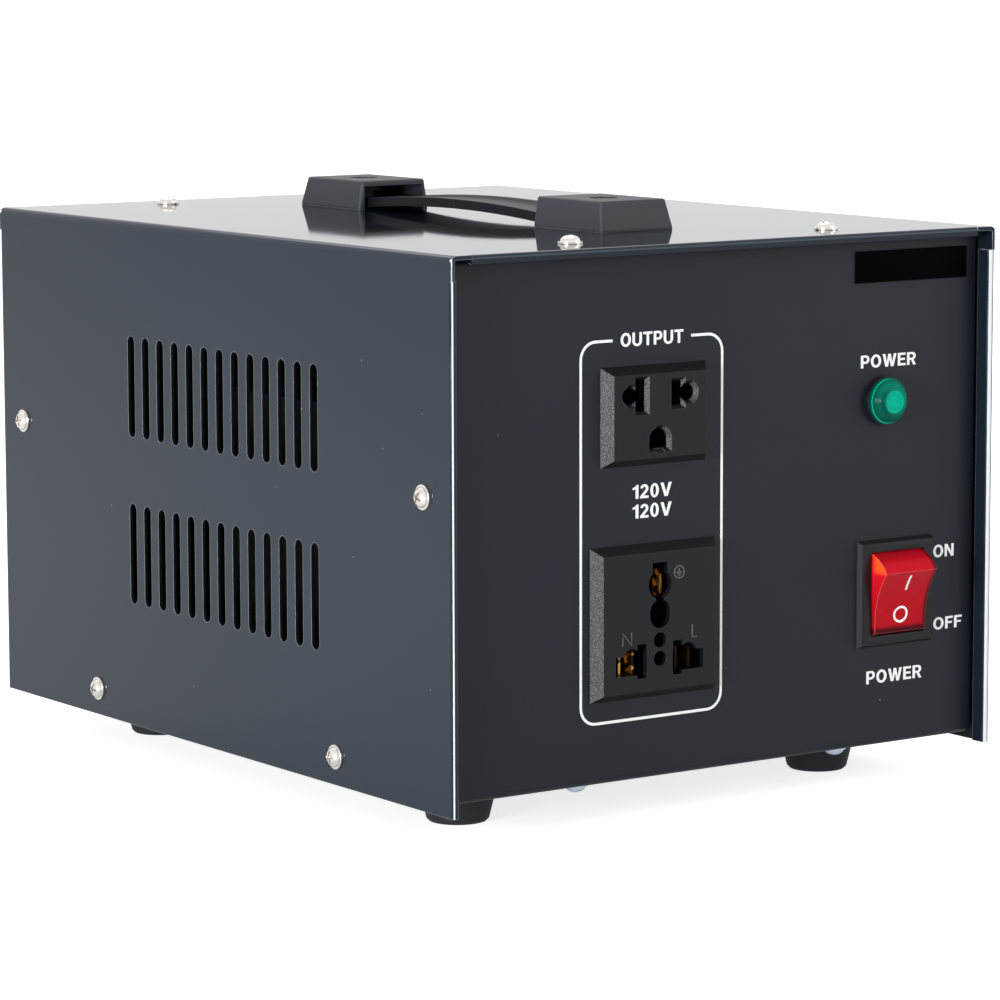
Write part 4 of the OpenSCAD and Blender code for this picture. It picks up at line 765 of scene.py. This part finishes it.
# Gap between letters, and for each letter its width and its outlines, in hundredths of the letters' height
LETTER_GAP = 13
GLYPHS = {
    "E": (71, [[(0, 0), (71, 0), (71, 18), (22, 18), (22, 42), (65, 42), (65, 59), (22, 59), (22, 82),
                (69, 82), (69, 100), (0, 100)]]),
    "F": (66, [[(0, 0), (22, 0), (22, 41), (59, 41), (59, 58), (22, 58), (22, 82), (66, 82), (66, 100),
                (0, 100)]]),
    "N": (82, [[(0, 0), (21, 0), (21, 65), (59, 0), (82, 0), (82, 100), (61, 100), (61, 36), (23, 100),
                (0, 100)]]),
    "O": (92, [oval((46, 50), 46, 52), oval((46, 50), 23, 33)]),
    "P": (76, [[(0, 0), (22, 0), (22, 35), (45, 35), *bow((45, 67.5), 31, 32.5, -90, 90, 12), (0, 100)],
               [(22, 52), (22, 83), *bow((42, 67.5), 13, 15.5, 90, -90, 10)]]),
    "R": (80, [[(0, 0), (22, 0), (22, 39), (36, 39), (56, 0), (80, 0), (57, 42),
                *bow((47, 70), 31, 30, -55, 90, 12), (0, 100)],
               [(22, 55), (22, 83), *bow((43, 69), 13, 14, 90, -90, 10)]]),
    "T": (80, [[(29, 0), (51, 0), (51, 82), (80, 82), (80, 100), (0, 100), (0, 82), (29, 82)]]),
    "U": (84, [[(0, 100), *bow((42, 35), 42, 37, 180, 360, 16), (84, 100), (62, 100),
                *bow((42, 36), 20, 20, 360, 180, 14), (22, 100)]]),
    "V": (86, [[(31, 0), (55, 0), (86, 100), (63, 100), (43, 28), (23, 100), (0, 100)]]),
    "W": (124, [[(25, 0), (49, 0), (62, 60), (75, 0), (99, 0), (124, 100), (101, 100), (86, 32), (73, 100),
                 (51, 100), (38, 32), (23, 100), (0, 100)]]),
    "0": (66, [oval((33, 50), 33, 52), oval((33, 50), 12, 35)]),
    "1": (44, [[(22, 0), (44, 0), (44, 100), (28, 100), (20, 88), (0, 80), (0, 64), (22, 72)]]),
    "2": (64, [[(0, 0), (64, 0), (64, 18), (29, 18), *bow((32, 69), 31, 32, -35, 172, 16),
                *bow((32, 69), 11, 15, 172, -35, 12), (0, 15)]]),
}


def evaluated(holder):
    """Mesh of what an object comes to, which takes the object away."""
    bpy.context.view_layer.update()
    mesh = bpy.data.meshes.new_from_object(holder.evaluated_get(bpy.context.evaluated_depsgraph_get()))
    bpy.data.objects.remove(holder)
    return mesh


def lettering(text, box, thickness):
    """A word of bold letters fitted into a box on the front panel, thick as ink."""
    curve = bpy.data.curves.new("word", "CURVE")
    curve.dimensions = "2D"
    curve.fill_mode = "BOTH"
    curve.extrude = 0.5
    start = 0
    for letter in text:
        width, outlines = GLYPHS[letter]
        for outline in outlines:
            spline = curve.splines.new("POLY")
            spline.points.add(len(outline) - 1)
            for point, (x, y) in zip(spline.points, outline):
                point.co = (start + x, y, 0, 1)
            spline.use_cyclic_u = True
        start += width + LETTER_GAP
    mesh = evaluated(linked("word", curve))
    low, high = extent(mesh.vertices)
    for vertex in mesh.vertices:
        across, up = [(vertex.co[i] - low[i]) / (high[i] - low[i]) for i in (0, 1)]
        vertex.co = on_patch(box, across, up, thickness if vertex.co.z > 0 else 0)
    return mesh


class TRANSFORMER_OT_stage(bpy.types.Operator):
    """Lay the floor and set the light and the camera"""
    bl_idname = "transformer.stage"
    bl_label = "Stage"

    def execute(self, context):
        stage = settings("stage")
        self.floor()
        self.world(context.scene, stage)
        self.camera(context.scene, stage)
        middle = Vector((0, 0, 0.08))
        self.lamp("key_lamp", (-1.45, -0.55, 0.24), middle, 0.4, stage.key_power)
        self.lamp("fill_lamp", (1.3, -1.5, 0.8), middle, 1.2, stage.fill_power)
        self.lamp("top_lamp", (0.35, 0.9, 1.6), middle, 1.5, stage.top_power)
        return {"FINISHED"}

    def floor(self):
        shape = bmesh.new()
        bmesh.ops.create_grid(shape, x_segments=2, y_segments=2, size=6)
        mesh = bpy.data.meshes.new("floor")
        shape.to_mesh(mesh)
        shape.free()
        floor = covered("floor", mesh, "floor_white")

    def world(self, scene, stage):
        """Even light, and plain white where the camera, a gloss or a clear piece sees it."""
        world = bpy.data.worlds.new("studio")
        scene.world = world
        world.use_nodes = True
        world.node_tree.nodes.clear()
        graph = Graph(world.node_tree)
        rays = graph.node("ShaderNodeLightPath")
        seen = (rays.other("Is Camera Ray") + rays.other("Is Glossy Ray")
                + rays.other("Is Transmission Ray")).above(0.5)
        light = graph.node("ShaderNodeBackground", inputs={
            "Color": (1, 1, 1, 1), "Strength": seen * (1 - stage.ambient) + stage.ambient})
        graph.finish("ShaderNodeOutputWorld", "Surface", light)

    def camera(self, scene, stage):
        lens = bpy.data.cameras.new("camera")
        lens.lens = stage.focal_length
        lens.sensor_width = 36
        camera = linked("camera", lens)
        pitch = math.pi / 2 - stage.tilt
        turn = (Matrix.Rotation(-stage.heading, 4, "Z") @ Matrix.Rotation(pitch, 4, "X")
                @ Matrix.Rotation(stage.roll, 4, "Z"))
        camera.matrix_world = Matrix.Translation(stage.camera_place) @ turn
        scene.camera = camera
        scene.view_settings.view_transform = "Standard"

    def lamp(self, name, place, target, size, power):
        light = bpy.data.lights.new(name, "AREA")
        light.size = size
        light.energy = power
        aim = (target - Vector(place)).to_track_quat("-Z", "Y").to_matrix().to_4x4()
        linked(name, light).matrix_world = Matrix.Translation(place) @ aim


class TRANSFORMER_OT_case(bpy.types.Operator):
    """Paint the cover, the panels and the tray"""
    bl_idname = "transformer.case"
    bl_label = "Case"

    def execute(self, context):
        dress(case_paint="cover base_plate", panel_paint="front_panel rear_panel",
              foot_rubber="rubber_feet")
        return {"FINISHED"}


class TRANSFORMER_OT_handle(bpy.types.Operator):
    """Finish the handle's caps and make the strap in two halves, each cut across in stations"""
    bl_idname = "transformer.handle"
    bl_label = "Handle"

    def execute(self, context):
        dress(handle_plastic="handle_cap_front handle_cap_rear handle_strap",
              zinc="handle_screws handle_nuts")
        middle = (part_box("handle_strap")[0].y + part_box("handle_strap")[1].y) / 2
        mouths = {"front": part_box("handle_cap_front")[1].y, "rear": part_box("handle_cap_rear")[0].y}
        for end, mouth in mouths.items():
            strap = covered("strap_" + end, self.half_strap(middle, mouth), "strap_vinyl")
            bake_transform(strap)
            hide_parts("handle_strap")
        return {"FINISHED"}

    def half_strap(self, middle, mouth):
        """The strap from its middle past one mouth, cut across in stations."""
        shape = copied("handle_strap")
        away = 1 if mouth > middle else -1
        stations = 24

        def cut(at, way, **options):
            return bmesh.ops.bisect_plane(shape, geom=[*shape.verts, *shape.edges, *shape.faces],
                                          plane_co=(0, at, 0), plane_no=(0, way, 0), **options)

        for i in range(1, stations + 1):
            cut(middle + (mouth - middle) * i / stations, 1)
        found = cut(middle, -away, clear_outer=True)
        rim = [e for e in found["geom_cut"] if isinstance(e, bmesh.types.BMEdge)]
        bmesh.ops.holes_fill(shape, edges=rim)
        return closed_mesh(shape)


def screw_sockets():
    """Property of each setting of the screws, by the name that its socket has too."""
    return {row.name: row.identifier for row in ScrewSettings.bl_rna.properties
            if row.identifier in ScrewSettings.__annotations__}


class TRANSFORMER_OT_screws(bpy.types.Operator):
    """Set the case screws with their flanges, domes and cross recesses"""
    bl_idname = "transformer.screws"
    bl_label = "Screws"

    def execute(self, context):
        recipe = self.recipe()
        panel_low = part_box("front_panel")[0].z
        # For each group of screws, where a head sits over a screw's middle and which way it faces
        for name, node, slot, seat in (
                ("top_screws", "cover_top_screws", "nickel", lambda m: ((m.x, m.y, CASE_TOP), (0, 0, 1))),
                ("side_screws", "cover_side_screws", "nickel", lambda m: (
                    (math.copysign(CASE_SIDE, m.x), m.y, m.z), (math.copysign(1, m.x), 0, 0))),
                ("base_screws", "panel_base_screws", "zinc", lambda m: (
                    (m.x, m.y, panel_low), (0, 0, -1)))):
            places = [seat((low + high) / 2) for low, high in solids(node)]
            add_piece(name, self.run(recipe, places, slot), slot, replaced=(node,))
        return {"FINISHED"}

    def run(self, recipe, places, slot):
        """Runs the recipe on one point for each screw and gives the mesh that it makes."""
        points = bpy.data.meshes.new("screw_points")
        points.from_pydata([p for p, _ in places], [], [])
        facing = points.attributes.new("facing", "FLOAT_VECTOR", "POINT")
        for item, (_, way) in zip(facing.data, places):
            item.vector = way
        holder = linked("screw_points", points)
        modifier = holder.modifiers.new("screws", "NODES")
        modifier.node_group = recipe
        rows = screw_sockets()
        for item in recipe.interface.items_tree:
            if item.in_out == "INPUT" and item.name in rows:
                modifier[item.identifier] = getattr(settings("screw"), rows[item.name])
            elif item.name == "Finish":
                modifier[item.identifier] = finish(slot)
        return creased(evaluated(holder))

    def recipe(self):
        """Geometry nodes that put one screw on each point, each turned by its own angle."""
        tree = bpy.data.node_groups.new("flanged_screws", "GeometryNodeTree")
        rows = screw_sockets()
        kinds = {name: "Int" if name == "Seed" else "Float" for name in rows}
        for name, kind in {"Geometry": "Geometry", **kinds, "Finish": "Material"}.items():
            tree.interface.new_socket(name=name, in_out="INPUT", socket_type="NodeSocket" + kind)
        tree.interface.new_socket(name="Geometry", in_out="OUTPUT", socket_type="NodeSocketGeometry")
        graph = Graph(tree)
        given = graph.node("NodeGroupInput")
        size = {key: given.other(name) for name, key in rows.items()}
        instances = graph.named("GeometryNodeInstanceOnPoints", Points=given,
                                Instance=self.one_screw(graph, size),
                                Rotation=self.turned(graph, size["seed"]))
        real = graph.named("GeometryNodeRealizeInstances", Geometry=instances)
        finished = graph.named("GeometryNodeSetMaterial", Geometry=real, Material=given.other("Finish"))
        graph.finish("NodeGroupOutput", "Geometry", finished)
        return tree

    def turned(self, graph, seed):
        """Faces each screw along its point's way and turns it about that way."""
        way = graph.node("GeometryNodeInputNamedAttribute", {"data_type": "FLOAT_VECTOR"},
                         {"Name": "facing"})
        faced = graph.node("FunctionNodeAlignRotationToVector", {"axis": "Z"}, {"Vector": way})
        turn = graph.node("FunctionNodeRandomValue", {"data_type": "FLOAT"},
                          {2: 0.0, 3: math.pi / 2, "Seed": seed}, output=1)
        spin = graph.node("FunctionNodeAxisAngleToRotation", inputs={"Axis": (0, 0, 1), "Angle": turn})
        return graph.node("FunctionNodeRotateRotation", {"rotation_space": "LOCAL"},
                          {"Rotation": faced, "Rotate By": spin})

    def one_screw(self, graph, size):
        """A flange, a dome with a cross recess and a thread, standing on z = 0."""
        def vector(across, along, up):
            return graph.node("ShaderNodeCombineXYZ", inputs={0: across, 1: along, 2: up})

        def raised(shape, height, **more):
            place = vector(0, 0, height)
            return graph.named("GeometryNodeTransform", Geometry=shape, Translation=place, **more)

        def rod(sides, diameter, tall, middle):
            shape = graph.named("GeometryNodeMeshCylinder", Vertices=sides, Radius=diameter * 0.5,
                                Depth=tall)
            return raised(shape, tall * middle)

        flange = rod(48, size["flange_d"], size["flange_h"], 0.5)
        ball = graph.named("GeometryNodeMeshUVSphere", Segments=48, Rings=24, Radius=1.0)
        place = graph.named("GeometryNodeInputPosition")
        flat = graph.node("ShaderNodeVectorMath", {"operation": "MAXIMUM"}, {0: place, 1: (-1, -1, 0)})
        half_ball = graph.named("GeometryNodeSetPosition", Geometry=ball, Position=flat)
        half = size["dome_d"] * 0.5
        dome = raised(half_ball, size["flange_h"] * 0.98, Scale=vector(half, half, size["dome_h"]))
        top = size["flange_h"] + size["dome_h"]
        bars = []
        for spans in (("recess_l", "recess_w"), ("recess_w", "recess_l")):
            box = vector(*[size[key] for key in spans], size["recess_deep"] * 2)
            bars.append(raised(graph.named("GeometryNodeMeshCube", Size=box), top))
        cut = graph.node("GeometryNodeMeshBoolean", {"operation": "DIFFERENCE", "solver": "MANIFOLD"},
                         {"Mesh 1": dome, "Mesh 2": bars})
        shank = rod(32, size["shank_d"], size["shank_l"], -0.5)
        return graph.named("GeometryNodeJoinGeometry", Geometry=[flange, cut, shank])


class TRANSFORMER_OT_printing(bpy.types.Operator):
    """Print the words and the line round the outlets, and fix the bare plate"""
    bl_idname = "transformer.printing"
    bl_label = "Printing"

    def execute(self, context):
        ink = settings("print")
        words = [("OUTPUT", ink.output), ("120V", ink.upper_rating), ("120V", ink.lower_rating),
                 ("POWER", ink.lamp_word), ("ON", ink.on_word), ("OFF", ink.off_word),
                 ("POWER", ink.switch_word)]
        meshes = [lettering(text, box, ink.thickness) for text, box in words]
        meshes.append(self.outline(ink))
        add_piece("panel_print", joined(meshes), "panel_paint", finish_name="print_white")
        add_piece("bare_plate", self.plate(ink), "panel_paint", finish_name="badge_black")
        return {"FINISHED"}

    def outline(self, ink):
        """Line round both outlets with round corners, open where its word stands."""
        left, right, low, high = ink.outline
        r = ink.corner_radius
        points = [(ink.output[0] - ink.word_gap, high)]
        for corner, start in (((left + r, high - r), 90), ((left + r, low + r), 180),
                              ((right - r, low + r), 270), ((right - r, high - r), 0)):
            points += bow(corner, r, r, start, start + 90)
        points.append((ink.output[1] + ink.word_gap, high))
        return stroke(points, ink.line_width, ink.thickness, on_panel)

    def plate(self, ink):
        """Thin plate with eased edges."""
        shape = bmesh.new()
        bmesh.ops.create_cube(shape, size=1)
        for vertex in shape.verts:
            across, out, up = [c + 0.5 for c in vertex.co]
            vertex.co = on_patch(ink.badge, across, up, (1 - out) * ink.badge_thickness)
        radius = 0.15 * MM
        bmesh.ops.bevel(shape, geom=shape.edges[:], offset=radius, segments=2, profile=0.5, affect="EDGES")
        return closed_mesh(shape)


class TRANSFORMER_OT_outlets(bpy.types.Operator):
    """Finish the two outlets and add their raised marks"""
    bl_idname = "transformer.outlets"
    bl_label = "Outlets"

    def execute(self, context):
        # The duplex contacts take the near-black brass, a painted shade
        dress(outlet_plastic="outlet_duplex_face outlet_duplex_back outlet_universal_face "
                             "outlet_universal_back",
              tarnished_brass="outlet_duplex_contacts", contact_brass="outlet_universal_contacts")
        # The raised marks take the lighter grey, a painted highlight
        add_piece("outlet_marks", joined(self.marks()), "outlet_plastic", finish_name="mark_plastic")
        return {"FINISHED"}

    def marks(self):
        """Raised earth sign in a ring, and two letters over the universal outlet's lower apertures."""
        low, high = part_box("outlet_universal_face")
        middle_x, middle_z = (low.x + high.x) / 2, (low.z + high.z) / 2
        height, width = 0.14 * MM, 0.34

        def place(across, up, out):
            return Vector((middle_x + across * MM, low.y - out, middle_z + up * MM))

        def line(*points, loop=False):
            return stroke([Vector(p) for p in points], width, height, place, loop)

        sign_x, sign_z, ring_r, bar_gap = 6.7, 13.5, 1.75, 0.55
        meshes = [line(*oval((sign_x, sign_z), ring_r, ring_r), loop=True),
                  line((sign_x, sign_z + 1.1), (sign_x, sign_z + 0.1))]
        for i, half in enumerate((1.0, 0.65, 0.3)):
            bar_z = sign_z - bar_gap * i
            meshes.append(line((sign_x - half, bar_z), (sign_x + half, bar_z)))
        meshes.append(line((-13.2, -6.0), (-13.2, -2.3), (-10.1, -6.0), (-10.1, -2.3)))
        meshes.append(line((11.4, -2.0), (11.4, -5.6), (13.2, -5.6)))
        return meshes


class TRANSFORMER_OT_switch(bpy.types.Operator):
    """Finish the rocker switch and print its marks"""
    bl_idname = "transformer.switch"
    bl_label = "Rocker switch"

    def execute(self, context):
        dress(brass="switch_terminals", neon_glass="switch_lamp", rocker_red="switch_rocker")
        add_piece("switch_bezel", self.bezel(), "switch_black", replaced=("switch_housing",))
        add_piece("rocker_marks", joined(self.marks()), "rocker_red", body="rocker_body",
                  finish_name="print_white")
        return {"FINISHED"}

    def bezel(self):
        """The housing with the sharp edges of its bezel rounded."""
        radius, bezel_deep = 0.3 * MM, 1.2 * MM
        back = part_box("switch_housing")[0].y + bezel_deep
        shape = copied("switch_housing")
        edges = [e for e in shape.edges if e.is_manifold and e.calc_face_angle() > CREASE
                 and all(v.co.y < back for v in e.verts)]
        bmesh.ops.bevel(shape, geom=edges, offset=radius, segments=2, profile=0.5, affect="EDGES",
                        clamp_overlap=False)
        return closed_mesh(shape)

    def marks(self):
        """A stroke and a ring on the rocker's hollow face."""
        switch = settings("switch")
        width, thickness = switch.mark_width, 0.06 * MM
        half_w, half_h = [(size - width) / 2 for size in (switch.off_mark_w, switch.off_mark_h)]
        turns = [2 * math.pi * i / 36 for i in range(36)]
        ring = [(half_w * math.cos(a), half_h * math.sin(a) - switch.off_mark_down) for a in turns]
        top = switch.on_mark_up + switch.on_mark_l / 2
        bar = [(switch.on_mark_right, top - switch.on_mark_l * i / 8) for i in range(9)]
        return [stroke(bar, width, thickness, self.on_rocker),
                stroke(ring, width, thickness, self.on_rocker, loop=True)]

    def on_rocker(self, across, up, out):
        """Point over the rocker's dished face, from its middle along the face."""
        pivot = next(j for j in frame["joints"] if j["name"] == "switch_rock")["pos_m"]
        half_span, peak, dish, tilt = 9.57 * MM, 8.5 * MM, 1.8 * MM, math.radians(16)
        clearance = 0.01 * MM
        radius = (half_span ** 2 + dish ** 2) / (2 * dish)
        deep = radius - math.sqrt(radius ** 2 - up ** 2)
        away = peak - dish + deep + out + clearance
        turned = Matrix.Rotation(tilt, 3, "X") @ Vector((across, -away, up))
        return Vector(pivot) + turned


class TRANSFORMER_OT_lamp(bpy.types.Operator):
    """Finish the pilot lamp"""
    bl_idname = "transformer.lamp"
    bl_label = "Pilot lamp"

    def execute(self, context):
        dress(lens_green="lamp_lens", switch_black="lamp_body", zinc="lamp_nut", brass="lamp_terminals")
        return {"FINISHED"}


class TRANSFORMER_OT_rear(bpy.types.Operator):
    """Finish the fuse holder and the cord gland"""
    bl_idname = "transformer.rear"
    bl_label = "Rear fittings"

    def execute(self, context):
        dress(switch_black="fuse_holder_body fuse_holder_nut fuse_cap", fuse_glass="fuse_glass",
              nickel="fuse_ends", brass="fuse_contacts", outlet_plastic="cord_gland cord_gland_nut")
        return {"FINISHED"}


class TRANSFORMER_OT_inside(bpy.types.Operator):
    """Finish the core, the coil and the wiring"""
    bl_idname = "transformer.inside"
    bl_label = "Inside"

    def execute(self, context):
        dress(core_steel="core_e core_i", bobbin_nylon="bobbin",
              copper_wire="primary_winding secondary_winding", tape_yellow="winding_wrap",
              switch_black="core_brackets terminal_block",
              zinc="core_bolts core_nuts mount_screws mount_nuts block_screws foot_screws "
                   "foot_nuts clinch_nuts",
              brass="terminal_plates earth_stud earth_nut", nickel="terminal_screws",
              lead_black="primary_leads", lead_red="secondary_leads")
        return {"FINISHED"}


OPERATORS = (
    TRANSFORMER_OT_stage, TRANSFORMER_OT_case, TRANSFORMER_OT_handle, TRANSFORMER_OT_screws,
    TRANSFORMER_OT_printing, TRANSFORMER_OT_outlets, TRANSFORMER_OT_switch, TRANSFORMER_OT_lamp,
    TRANSFORMER_OT_rear, TRANSFORMER_OT_inside,
)


class TRANSFORMER_PT_dressing(bpy.types.Panel):
    """Steps that dress the transformer"""
    bl_idname = "TRANSFORMER_PT_dressing"
    bl_label = "Isolation transformer"
    bl_space_type = "VIEW_3D"
    bl_region_type = "UI"
    bl_category = "Transformer"

    def draw(self, context):
        for operator in OPERATORS:
            self.layout.operator(operator.bl_idname)


def register():
    for group in (*SETTINGS.values(), *OPERATORS, TRANSFORMER_PT_dressing):
        bpy.utils.register_class(group)
    for name, group in SETTINGS.items():
        setattr(bpy.types.Scene, name, PointerProperty(type=group))


def unregister():
    for name in SETTINGS:
        delattr(bpy.types.Scene, name)
    for group in (TRANSFORMER_PT_dressing, *reversed(OPERATORS), *reversed(SETTINGS.values())):
        bpy.utils.unregister_class(group)


def main():
    register()
    for operator in OPERATORS:
        family, step = operator.bl_idname.split(".")
        getattr(getattr(bpy.ops, family), step)()


if __name__ == "__main__":
    main()
